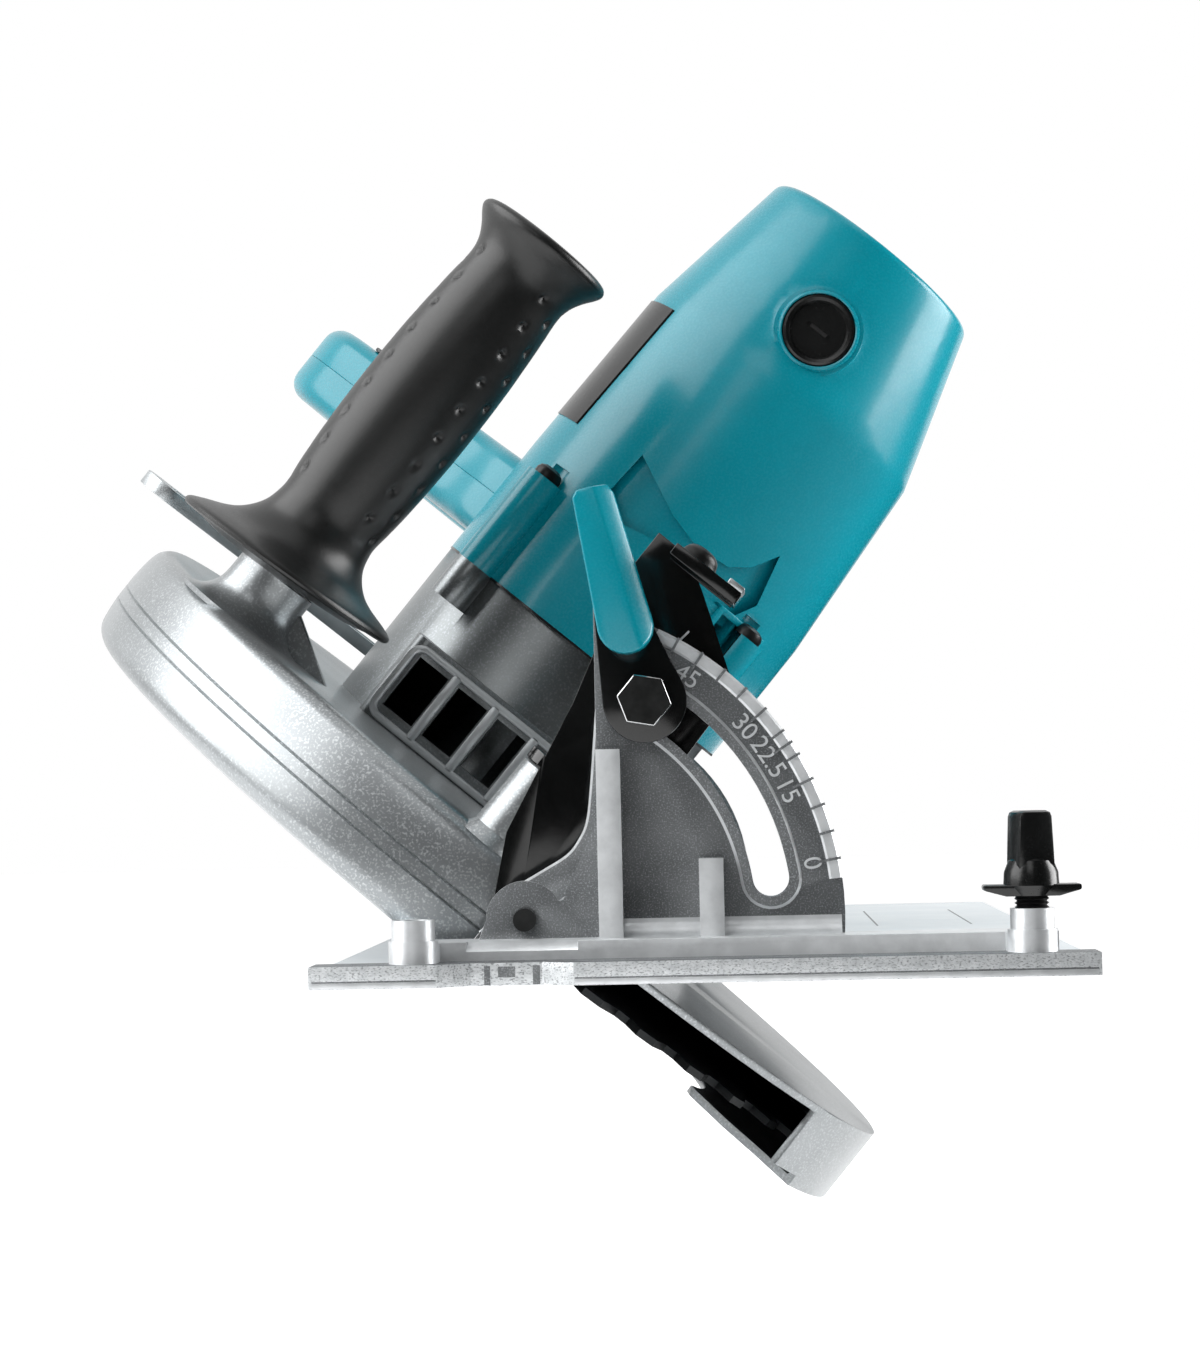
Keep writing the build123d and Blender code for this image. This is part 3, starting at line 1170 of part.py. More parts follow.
# Switch in the handle, with its trigger and cross-bolt lock-off button
with BuildPart() as switch_body:
    block((handle_left + handle_wall, handle_right - handle_wall), (trigger_front + 7, trigger_rear - 3),
          (trigger_top + trigger_travel + seat_gap, trigger_top + trigger_travel + 8.5))
save(switch_body, "switch_body", tilted)
with BuildPart() as trigger:
    plate_x(
        [(trigger_front, trigger_top), (trigger_rear, trigger_top), (trigger_rear, trigger_low + 15),
         (trigger_rear - 6, trigger_low + 2), (trigger_front + 9, trigger_low), (trigger_front, trigger_low + 8)],
        (handle_x - trigger_wide / 2, handle_x + trigger_wide / 2), round_by=2.0,
    )
save(trigger, "trigger", tilted)
with BuildPart() as lock_off_button:
    rod_x((handle_left - 2.5, handle_right + 2.5), lock_off_y, lock_off_z, lock_off_radius)
    chamfer(lock_off_button.edges(), 0.8)
save(lock_off_button, "lock_off_button", tilted)

# Gland for the supply cord at the heel of the handle
with BuildPart() as cord_gland:
    rod_y(handle_x, (gland_end - gland_long, gland_end), gland_z, gland_radius)
    fillet(cord_gland.edges().sort_by(Axis.Y)[-1], 2.5)
    rod_y(handle_x, (gland_end - gland_long - 1, gland_end + 1), gland_z, gland_bore, Mode.SUBTRACT)
save(cord_gland, "cord_gland", tilted)
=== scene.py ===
"""Looks of a large circular saw with its head tilted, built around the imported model."""

from __future__ import annotations

import json
import logging
import math
from collections.abc import Callable, Iterable, Sequence
from dataclasses import dataclass
from enum import Enum

import bmesh
import bpy
from bmesh.types import BMesh, BMEdge, BMFace, BMVert
from bpy.types import Material, Node, NodeSocket, NodeTree, Object
from mathutils import Matrix, Vector, geometry

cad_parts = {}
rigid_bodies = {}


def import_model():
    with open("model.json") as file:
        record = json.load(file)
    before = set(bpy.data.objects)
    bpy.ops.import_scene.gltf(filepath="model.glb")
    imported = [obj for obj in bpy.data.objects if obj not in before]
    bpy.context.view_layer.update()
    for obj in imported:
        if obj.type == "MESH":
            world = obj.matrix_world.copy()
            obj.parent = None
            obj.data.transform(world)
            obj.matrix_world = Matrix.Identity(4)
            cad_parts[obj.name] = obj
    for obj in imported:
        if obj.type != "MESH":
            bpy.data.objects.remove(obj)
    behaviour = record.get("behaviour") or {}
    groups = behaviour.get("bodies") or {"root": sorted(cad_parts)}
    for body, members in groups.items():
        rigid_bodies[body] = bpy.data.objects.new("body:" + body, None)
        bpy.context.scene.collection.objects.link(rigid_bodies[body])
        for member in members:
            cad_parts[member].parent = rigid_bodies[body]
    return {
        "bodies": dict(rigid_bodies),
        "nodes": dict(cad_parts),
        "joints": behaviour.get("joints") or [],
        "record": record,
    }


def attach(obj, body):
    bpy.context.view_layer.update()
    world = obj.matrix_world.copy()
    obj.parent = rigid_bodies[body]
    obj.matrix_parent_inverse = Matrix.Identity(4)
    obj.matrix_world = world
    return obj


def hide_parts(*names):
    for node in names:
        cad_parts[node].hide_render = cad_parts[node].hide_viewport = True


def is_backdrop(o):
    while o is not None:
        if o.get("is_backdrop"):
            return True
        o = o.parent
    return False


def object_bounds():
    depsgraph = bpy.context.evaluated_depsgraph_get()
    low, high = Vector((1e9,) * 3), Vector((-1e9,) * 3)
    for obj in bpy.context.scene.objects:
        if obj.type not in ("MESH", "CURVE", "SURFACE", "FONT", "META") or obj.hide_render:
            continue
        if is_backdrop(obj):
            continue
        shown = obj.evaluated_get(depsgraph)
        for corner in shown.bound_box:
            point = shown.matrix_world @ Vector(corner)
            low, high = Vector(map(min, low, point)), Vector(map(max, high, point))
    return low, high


LOG = logging.getLogger("saw")
MM = 0.001
SHARP = math.radians(30)
NEARLY_FLAT = math.radians(0.5)
SAME_POINT = 1e-4
X_AXIS = Vector((1, 0, 0))
Y_AXIS = Vector((0, 1, 0))
Z_AXIS = Vector((0, 0, 1))
Pair = tuple[float, float]
Triple = tuple[float, float, float]
Outline = tuple[Pair, ...]


class Slot(Enum):
    """The record's material slots."""

    CAST = "cast_aluminium"
    SILVER = "silver_casting"
    TEAL = "teal_housing"
    BLACK_STEEL = "black_steel"
    BLACK_PLASTIC = "black_plastic"
    RUBBER = "black_rubber"
    PLATED = "plated_steel"
    BRIGHT = "bright_steel"
    LAMINATED = "laminated_steel"
    COPPER = "copper"
    CARBON = "carbon"


def linear(code: str) -> tuple[float, float, float, float]:
    """Turn an sRGB hex colour into linear RGBA.

    Args:
        code: Six hex digits, red first.

    Returns:
        The colour as a shader socket takes it.
    """
    parts = [int(code[start:start + 2], 16) / 255 for start in (0, 2, 4)]
    red, green, blue = (p / 12.92 if p <= 0.04045 else ((p + 0.055) / 1.055) ** 2.4 for p in parts)
    return red, green, blue, 1.0


def add_node(tree: NodeTree, kind: str, inputs: dict | None = None, **settings) -> Node:
    """Add one node, with its settings and what feeds it.

    Args:
        tree: The node tree.
        kind: The node's type name.
        inputs: Socket name or number, and the value or output socket that it takes.
        **settings: Properties of the node.

    Returns:
        The new node.
    """
    node = tree.nodes.new(kind)
    for name, value in settings.items():
        setattr(node, name, value)
    for key, value in (inputs or {}).items():
        if isinstance(value, NodeSocket):
            tree.links.new(value, node.inputs[key])
        else:
            node.inputs[key].default_value = value
    return node


def noise(tree: NodeTree, where: NodeSocket, size_mm: float, detail: float = 1.0,
          roughness: float = 0.5) -> NodeSocket:
    """A noise pattern in real sizes.

    Args:
        tree: The node tree.
        where: The pattern's coordinates.
        size_mm: How far apart its features are, in millimetres.
        detail: How many finer layers it has.
        roughness: How strong the finer layers are.

    Returns:
        The pattern's output.
    """
    return add_node(tree, "ShaderNodeTexNoise", {
        "Vector": where,
        "Scale": 1.0 / (size_mm * MM),
        "Detail": detail,
        "Roughness": roughness,
    }).outputs["Fac"]


@dataclass(frozen=True)
class Finish:
    """A surface: its colours, its gloss and two grains that roughen it.

    Colours run from dark to pale over the broad mottle, and the fine grain raises the bump.
    """

    name: str
    slot: Slot
    dark: str
    pale: str
    metallic: float = 0.0
    rough: Pair = (0.4, 0.5)
    ior: float = 1.5
    coat: float = 0.0
    mottle_mm: float = 20.0
    grain_mm: float = 1.0
    grain_high_mm: float = 0.03
    wave_mm: float = 0.0
    wave_high_mm: float = 0.0
    speckle: str = ""
    speckle_mm: float = 1.0
    stretch: Triple = (1.0, 1.0, 1.0)

    def material(self) -> Material:
        """The finish as a node material, made once.

        Returns:
            The material of this name.
        """
        found = bpy.data.materials.get(self.name)
        if found:
            return found
        made = bpy.data.materials.new(self.name)
        made.use_nodes = True
        tree = made.node_tree
        tree.nodes.clear()
        where = add_node(tree, "ShaderNodeTexCoord").outputs["Object"]
        mapped = add_node(tree, "ShaderNodeMapping", {
            "Vector": where,
            "Scale": self.stretch,
        }).outputs["Vector"]
        mottle = noise(tree, where, self.mottle_mm, 4.0, 0.55)
        grain = noise(tree, mapped, self.grain_mm, 3.0, 0.6)
        spread = add_node(tree, "ShaderNodeMapRange", {
            "Value": mottle,
            "From Min": 0.35,
            "From Max": 0.65,
        }).outputs["Result"]
        colour = add_node(tree, "ShaderNodeMix", {
            "Factor": spread,
            "A": linear(self.dark),
            "B": linear(self.pale),
        }, data_type="RGBA").outputs[2]
        if self.speckle:
            colour = self.speckled(tree, colour, mapped)
        gloss = add_node(tree, "ShaderNodeMapRange", {
            "Value": grain,
            "From Min": 0.3,
            "From Max": 0.7,
            "To Min": self.rough[0],
            "To Max": self.rough[1],
        }).outputs["Result"]
        normal = self.relief(tree, where, grain)
        shader = add_node(tree, "ShaderNodeBsdfPrincipled", {
            "Base Color": colour,
            "Metallic": self.metallic,
            "Roughness": gloss,
            "IOR": self.ior,
            "Coat Weight": self.coat,
            "Coat Roughness": 0.12,
            "Normal": normal,
        })
        add_node(tree, "ShaderNodeOutputMaterial", {"Surface": shader.outputs["BSDF"]})
        return made

    def speckled(self, tree: NodeTree, colour: NodeSocket,
                 mapped: NodeSocket) -> NodeSocket:
        """Lay sparse specks over a colour.

        Args:
            tree: The material's node tree.
            colour: The colour under the specks.
            mapped: The pattern's coordinates.

        Returns:
            The speckled colour.
        """
        few = add_node(tree, "ShaderNodeMapRange", {
            "Value": noise(tree, mapped, self.speckle_mm),
            "From Min": 0.52,
            "From Max": 0.72,
        }).outputs["Result"]
        return add_node(tree, "ShaderNodeMix", {
            "Factor": few,
            "A": colour,
            "B": linear(self.speckle),
        }, data_type="RGBA").outputs[2]

    def relief(self, tree: NodeTree, where: NodeSocket,
               grain: NodeSocket) -> NodeSocket:
        """Bump from the fine grain, over a slow wave where the surface has one.

        Args:
            tree: The material's node tree.
            where: Object coordinates.
            grain: The fine grain.

        Returns:
            The bumped normal.
        """
        bump = add_node(tree, "ShaderNodeBump", {
            "Height": grain,
            "Strength": 1.0,
            "Distance": self.grain_high_mm * MM,
        })
        if self.wave_mm:
            slow = add_node(tree, "ShaderNodeBump", {
                "Height": noise(tree, where, self.wave_mm),
                "Strength": 1.0,
                "Distance": self.wave_high_mm * MM,
            }).outputs["Normal"]
            tree.links.new(slow, bump.inputs["Normal"])
        return bump.outputs["Normal"]


# Shot-blasted aluminium casting: an even grey grit that breaks up every highlight.
BLASTED = Finish("shot_blasted_aluminium", Slot.CAST, "707375", "808385", metallic=0.75, rough=(0.4, 0.58),
                 mottle_mm=14, grain_mm=0.7, grain_high_mm=0.07, speckle="a4a7a9", speckle_mm=0.45)
# The same casting where a cutter has passed over it: brighter, with torn pits.
MILLED = Finish("milled_aluminium", Slot.CAST, "ced2d4", "e8ebed", metallic=0.4, rough=(0.28, 0.5),
                mottle_mm=2.5, grain_mm=0.6, grain_high_mm=0.12, speckle="8e9194", speckle_mm=0.4,
                stretch=(0.5, 1.0, 1.0))
# Casting worn bright, as along the scale and the slot; on rounded edges turned to the front the same colour
# is a painted highlight.
RUBBED_AND_HIGHLIT = Finish("rubbed_and_highlit_aluminium", Slot.CAST, "d2d5d7", "e2e5e7", metallic=0.5, rough=(0.32, 0.45),
                mottle_mm=6, grain_mm=0.8, grain_high_mm=0.03)
# The sole's up-facing faces: a finer blast, painted paler as a painted highlight of the light from above.
SOLE_TOP_HIGHLIGHT = Finish("sole_top_painted_highlight", Slot.CAST, "dbe2e6", "e2e8eb", metallic=0.5,
                      rough=(0.34, 0.46), mottle_mm=25, grain_mm=0.6, grain_high_mm=0.03)
# Silver lacquer over a die casting: smooth paint with fine flakes, soft broad highlights.
LACQUERED = Finish("silver_lacquer", Slot.SILVER, "8f9395", "9da1a3", metallic=0.75, rough=(0.3, 0.38),
                   coat=0.15, mottle_mm=40, grain_mm=0.7, grain_high_mm=0.015, wave_mm=25, wave_high_mm=0.03,
                   speckle="b9bdbf", speckle_mm=0.7)
# The gear case: the same lacquer over a darker, plainer casting.
CASE_LACQUER = Finish("dark_silver_lacquer", Slot.SILVER, "75797a", "838788", metallic=0.85,
                      rough=(0.3, 0.38), coat=0.1, mottle_mm=30, grain_mm=0.7, grain_high_mm=0.015,
                      speckle="92969a", speckle_mm=0.7)
# Bars and rim of the gear case's vent, painted paler than its walls: a painted highlight.
PALE_LACQUER = Finish("pale_silver_lacquer", Slot.SILVER, "bcc0c2", "cbcfd1", metallic=0.6, rough=(0.3, 0.38),
                      mottle_mm=8, grain_mm=0.7, grain_high_mm=0.02)
# Satin moulded nylon in teal, with the faint grain of a spark-eroded mould.
TEAL_NYLON = Finish("teal_moulded_nylon", Slot.TEAL, "008b9c", "0093a4", rough=(0.24, 0.3), ior=1.42,
                    coat=0.2, mottle_mm=60, grain_mm=0.8, grain_high_mm=0.008, wave_mm=30, wave_high_mm=0.02)
# Black electrocoat on pressed steel: thin and glossy, with a little orange peel.
ELECTROCOAT = Finish("black_electrocoat", Slot.BLACK_STEEL, "0c0d0d", "141515", rough=(0.13, 0.18),
                     mottle_mm=30, grain_mm=2.5, grain_high_mm=0.003)
# Black oxide on small fasteners: a thin dark film, part metallic.
BLACK_OXIDE = Finish("black_oxide_steel", Slot.BLACK_STEEL, "1b1c1c", "2a2b2b", metallic=0.6,
                     rough=(0.28, 0.42), mottle_mm=5, grain_mm=0.5, grain_high_mm=0.02)
# Satin black moulded plastic.
BLACK_NYLON = Finish("black_moulded_nylon", Slot.BLACK_PLASTIC, "101111", "171818", rough=(0.2, 0.28),
                     mottle_mm=15, grain_mm=0.7, grain_high_mm=0.02)
# Moulded soft rubber: matt and a little dusty, with a low sheen.
SOFT_RUBBER = Finish("moulded_rubber", Slot.RUBBER, "0e0f0f", "151616", rough=(0.34, 0.42),
                     mottle_mm=18, grain_mm=0.6, grain_high_mm=0.03)
# Bright plating over steel, also used as a painted highlight on the clamp bolt's front corners.
NICKEL_AND_HIGHLIGHT = Finish("nickel_plate_and_highlight", Slot.PLATED, "b9bbbc", "cfd0d1", metallic=1.0, rough=(0.12, 0.22),
                mottle_mm=10, grain_mm=0.8, grain_high_mm=0.01)
# Zinc plate on a pressed strip: a satin grey that blurs what it mirrors.
ZINC = Finish("zinc_plate", Slot.PLATED, "a9adaf", "bcc0c2", metallic=0.9, rough=(0.34, 0.44),
              mottle_mm=12, grain_mm=0.8, grain_high_mm=0.01)
# Ground steel: fine parallel scratches.
GROUND_STEEL = Finish("ground_steel", Slot.BRIGHT, "8d8f90", "a9abac", metallic=1.0, rough=(0.22, 0.4),
                      mottle_mm=15, grain_mm=0.5, grain_high_mm=0.01, stretch=(0.08, 1.0, 1.0))
# Blade steel under a black coating, coloured near-black: painted shade for the dark inside of the guard.
BLADE_STEEL = Finish("blade_steel", Slot.BRIGHT, "1c1e1f", "27292a", metallic=0.8, rough=(0.35, 0.5),
                     mottle_mm=18, grain_mm=0.6, grain_high_mm=0.01)
# Stacked laminations: thin dark lines across the motor's axis.
LAMINATIONS = Finish("stacked_laminations", Slot.LAMINATED, "3c3d3e", "58595a", metallic=0.9,
                     rough=(0.35, 0.5), mottle_mm=8, grain_mm=1.0, grain_high_mm=0.05)
# Enamelled copper wire.
COPPER_WIRE = Finish("enamelled_copper", Slot.COPPER, "7a3a18", "a8562a", metallic=0.9, rough=(0.25, 0.4),
                     mottle_mm=3, grain_mm=1.0, grain_high_mm=0.08)
# Pressed carbon.
CARBON_BLOCK = Finish("pressed_carbon", Slot.CARBON, "141414", "202020", rough=(0.5, 0.65),
                      mottle_mm=2, grain_mm=0.4, grain_high_mm=0.02)

FINISH_OF_SLOT = {
    Slot.CAST: BLASTED,
    Slot.SILVER: LACQUERED,
    Slot.TEAL: TEAL_NYLON,
    Slot.BLACK_STEEL: ELECTROCOAT,
    Slot.BLACK_PLASTIC: BLACK_NYLON,
    Slot.RUBBER: SOFT_RUBBER,
    Slot.PLATED: NICKEL_AND_HIGHLIGHT,
    Slot.BRIGHT: GROUND_STEEL,
    Slot.LAMINATED: LAMINATIONS,
    Slot.COPPER: COPPER_WIRE,
    Slot.CARBON: CARBON_BLOCK,
}


@dataclass
class Saw:
    """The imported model, and the turned frame in which its head is drawn.

    The head frame has X along the motor, Y rearward and Z up the blade, about the tilt axis, in millimetres.
    """

    frame: dict
    bevel: float = math.radians(50)
    tilt_height: float = 16.15

    def head(self) -> Matrix:
        """From head millimetres to the row frame in metres."""
        lift = Matrix.Translation((0, 0, self.tilt_height * MM))
        return lift @ Matrix.Rotation(-self.bevel, 4, "Y") @ Matrix.Scale(MM, 4)

    def base(self) -> Matrix:
        """From base millimetres to the row frame in metres."""
        return Matrix.Scale(MM, 4)

    def copy_of(self, node: str) -> BMesh:
        """A merged copy of a CAD node's mesh, with flat faces joined up.

        Args:
            node: The node's name.

        Returns:
            The copy, in the row frame in metres.
        """
        bm = bmesh.new()
        bm.from_mesh(self.frame["nodes"][node].data)
        bmesh.ops.remove_doubles(bm, verts=bm.verts, dist=0.002 * MM)
        bmesh.ops.dissolve_limit(bm, angle_limit=NEARLY_FLAT, verts=bm.verts, edges=bm.edges)
        return bm

    def softened(self, node: str, width: float, segments: int = 2) -> BMesh:
        """A copy of a CAD node with its sharp edges rounded.

        Args:
            node: The node's name.
            width: Size of the rounding, in millimetres.
            segments: Steps across the rounding.

        Returns:
            The rounded copy, in the row frame in metres.
        """
        bm = self.copy_of(node)
        soften(bm, sharp_edges(bm), width * MM, segments)
        return bm


def sharp_edges(bm: BMesh, angle: float = SHARP) -> list[BMEdge]:
    """Edges of a mesh that turn by more than an angle."""
    return [edge for edge in bm.edges if len(edge.link_faces) == 2 and edge.calc_face_angle(0.0) > angle]


def soften(bm: BMesh, edges: Iterable[BMEdge], width: float, segments: int = 2) -> None:
    """Round some edges.

    Args:
        bm: The mesh.
        edges: Edges to round.
        width: Size of the rounding, in the mesh's units.
        segments: Steps across the rounding.
    """
    bmesh.ops.bevel(bm, geom=list(edges), offset=width, offset_type="OFFSET", affect="EDGES",
                    segments=segments, profile=0.5, material=-1, clamp_overlap=True, loop_slide=True)


def flowing(points: Sequence[Pair], steps: int = 6) -> list[Pair]:
    """A smooth line through a few points.

    Args:
        points: The points, in order.
        steps: Pieces between one point and the next.

    Returns:
        Points along the line.
    """
    line = []
    padded = [points[0], *points, points[-1]]
    for before, first, last, after in zip(padded, padded[1:], padded[2:], padded[3:]):
        knots = [Vector((*point, 0.0)) for point in (before, first, last, after)]
        leave = knots[1] + (knots[2] - knots[0]) / 6
        arrive = knots[2] - (knots[3] - knots[1]) / 6
        curve = geometry.interpolate_bezier(knots[1], leave, arrive, knots[2], steps + 1)
        line += [(point.x, point.y) for point in curve[:-1]]
    return [*line, tuple(points[-1])]


def spun(profile: Sequence[Pair], centre: Pair, steps: int = 48,
         closed: bool = False) -> BMesh:
    """Turn a profile about an axis along X.

    Args:
        profile: Points as (station on X, radius).
        centre: Y and Z of the axis.
        steps: Pieces round the turn.
        closed: Whether the profile is a ring, as for a shell with a wall.

    Returns:
        The turned mesh, with its faces outwards.
    """
    bm = bmesh.new()
    verts = [bm.verts.new((along, centre[0] + radius, centre[1])) for along, radius in profile]
    edges = [bm.edges.new(pair) for pair in zip(verts, verts[1:])]
    if closed:
        edges.append(bm.edges.new((verts[-1], verts[0])))
    bmesh.ops.spin(bm, geom=[*verts, *edges], cent=(0, *centre), axis=X_AXIS, angle=math.tau, steps=steps,
                   use_merge=True)
    bmesh.ops.remove_doubles(bm, verts=bm.verts, dist=SAME_POINT)
    bmesh.ops.recalc_face_normals(bm, faces=bm.faces)
    return bm


def prism(points: Sequence[Sequence[float]], along: Sequence[float], rounding: float = 0.0) -> BMesh:
    """A flat outline pushed along a direction.

    Args:
        points: Corners of the outline.
        along: How far it is pushed.
        rounding: Size of the rounded edges.

    Returns:
        The closed mesh.
    """
    bm = bmesh.new()
    face = bm.faces.new([bm.verts.new(point) for point in points])
    pushed = bmesh.ops.extrude_face_region(bm, geom=[face], use_keep_orig=True)["geom"]
    bmesh.ops.translate(bm, vec=along, verts=[item for item in pushed if isinstance(item, BMVert)])
    bmesh.ops.recalc_face_normals(bm, faces=bm.faces)
    if rounding:
        soften(bm, sharp_edges(bm), rounding)
    return bm


def block(low: Sequence[float], high: Sequence[float], rounding: float = 0.0) -> BMesh:
    """A box between two opposite corners.

    Args:
        low: The corner with the smallest coordinates.
        high: The opposite corner.
        rounding: Size of the rounded edges.

    Returns:
        The closed mesh.
    """
    left, front, bottom = low
    right, back, top = high
    face = ((left, front, bottom), (right, front, bottom), (right, front, top), (left, front, top))
    return prism(face, (0, back - front, 0), rounding)


def bent(points: Sequence[Sequence[float]], about: Sequence[float], axis: Vector, start: float, end: float,
         steps: int) -> BMesh:
    """A flat outline turned part of the way round an axis.

    Args:
        points: Corners of the outline at no turn.
        about: A point of the axis.
        axis: The axis's direction.
        start: First angle, in degrees.
        end: Last angle.
        steps: Pieces along it.

    Returns:
        The closed mesh.
    """
    bm = bmesh.new()
    face = bm.faces.new([bm.verts.new(point) for point in points])
    bmesh.ops.rotate(bm, cent=about, matrix=Matrix.Rotation(math.radians(start), 3, axis), verts=bm.verts)
    bmesh.ops.spin(bm, geom=[face, *face.edges, *face.verts], cent=about, axis=axis,
                   angle=math.radians(end - start), steps=steps)
    bmesh.ops.remove_doubles(bm, verts=bm.verts, dist=SAME_POINT)
    bmesh.ops.holes_fill(bm, edges=[edge for edge in bm.edges if edge.is_boundary], sides=0)
    bmesh.ops.recalc_face_normals(bm, faces=bm.faces)
    return bm


def carved(bm: BMesh, *cutters: BMesh) -> BMesh:
    """Cut closed meshes out of another.

    Args:
        bm: The mesh to cut, which is freed.
        *cutters: The meshes to take away, which are freed.

    Returns:
        The mesh that is left.
    """
    held = []
    for item in (bm, *cutters):
        mesh = bpy.data.meshes.new("held")
        item.to_mesh(mesh)
        item.free()
        held.append(bpy.data.objects.new("held", mesh))
        bpy.context.scene.collection.objects.link(held[-1])
    for tool in held[1:]:
        step = held[0].modifiers.new("cut", "BOOLEAN")
        step.object = tool
        step.operation = "DIFFERENCE"
        step.solver = "EXACT"
    left = bmesh.new()
    left.from_object(held[0], bpy.context.evaluated_depsgraph_get())
    for item in held:
        mesh = item.data
        bpy.data.objects.remove(item)
        bpy.data.meshes.remove(mesh)
    return left


def join(into: BMesh, *others: BMesh) -> BMesh:
    """Add meshes to another and free them.

    Args:
        into: The mesh that grows.
        *others: The meshes to add.

    Returns:
        The grown mesh.
    """
    for other in others:
        carrier = bpy.data.meshes.new("carrier")
        other.to_mesh(carrier)
        other.free()
        into.from_mesh(carrier)
        bpy.data.meshes.remove(carrier)
    return into


def make_piece(name: str, bm: BMesh, finish: Finish, body: str, stands_for: Sequence[str] = (),
               place: Matrix | None = None, smooth: float = SHARP) -> Object:
    """Make a mesh a finished piece that rides on a body.

    Args:
        name: The piece's name.
        bm: Its mesh, which is freed.
        finish: Its surface.
        body: The CAD body that it moves with.
        stands_for: CAD nodes that it replaces.
        place: From the mesh's units to the row frame in metres.
        smooth: Edges that turn by more than this stay sharp.

    Returns:
        The new object.
    """
    if place:
        bmesh.ops.transform(bm, matrix=place, verts=bm.verts)
    mesh = bpy.data.meshes.new(name)
    bm.to_mesh(mesh)
    bm.free()
    mesh.shade_smooth()
    mesh.set_sharp_from_angle(angle=smooth)
    mesh.materials.append(finish.material())
    piece = bpy.data.objects.new(name, mesh)
    bpy.context.scene.collection.objects.link(piece)
    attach(piece, body)
    if stands_for:
        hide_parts(*stands_for)
    LOG.info("%s: %d faces, rides on %s", name, len(mesh.polygons), body)
    return piece


def paint(piece: Object, finish: Finish, where: Callable[[Vector, Vector], bool]) -> None:
    """Give some faces of a piece another finish.

    Args:
        piece: The piece.
        finish: The other finish.
        where: Whether a face takes it, from its centre and its normal.
    """
    mesh = piece.data
    mesh.materials.append(finish.material())
    number = len(mesh.materials) - 1
    for face in mesh.polygons:
        if where(face.center, face.normal):
            face.material_index = number


def on_front_rounding(way: Vector) -> bool:
    """Whether a face with this normal is part of a rounded edge that shows from the front."""
    return max(map(abs, way)) < 0.97 and way.y < -0.2


@dataclass
class CarriedNodes:
    """CAD nodes whose shape is right: each is shown as it is, or as a copy with rounded edges."""

    saw: Saw
    rounded: dict[str, float]
    finishes: dict[str, Finish]

    def dress(self) -> None:
        """Finish every node that no other piece stands for."""
        bodies = self.saw.frame["record"]["behaviour"]["bodies"]
        body_of = {node: body for body, members in bodies.items() for node in members}
        slots = {row["node"]: Slot(row["material_slot"]) for row in self.saw.frame["record"]["subparts"]}
        for node, shown in self.saw.frame["nodes"].items():
            if shown.hide_render:
                continue
            finish = self.finishes.get(node, FINISH_OF_SLOT[slots[node]])
            if node in self.rounded:
                bm = self.saw.softened(node, self.rounded[node])
                make_piece(f"{node}_dressed", bm, finish, body_of[node], [node])
                continue
            shown.data.materials.clear()
            shown.data.materials.append(finish.material())
            shown.data.shade_smooth()
            shown.data.set_sharp_from_angle(angle=SHARP)


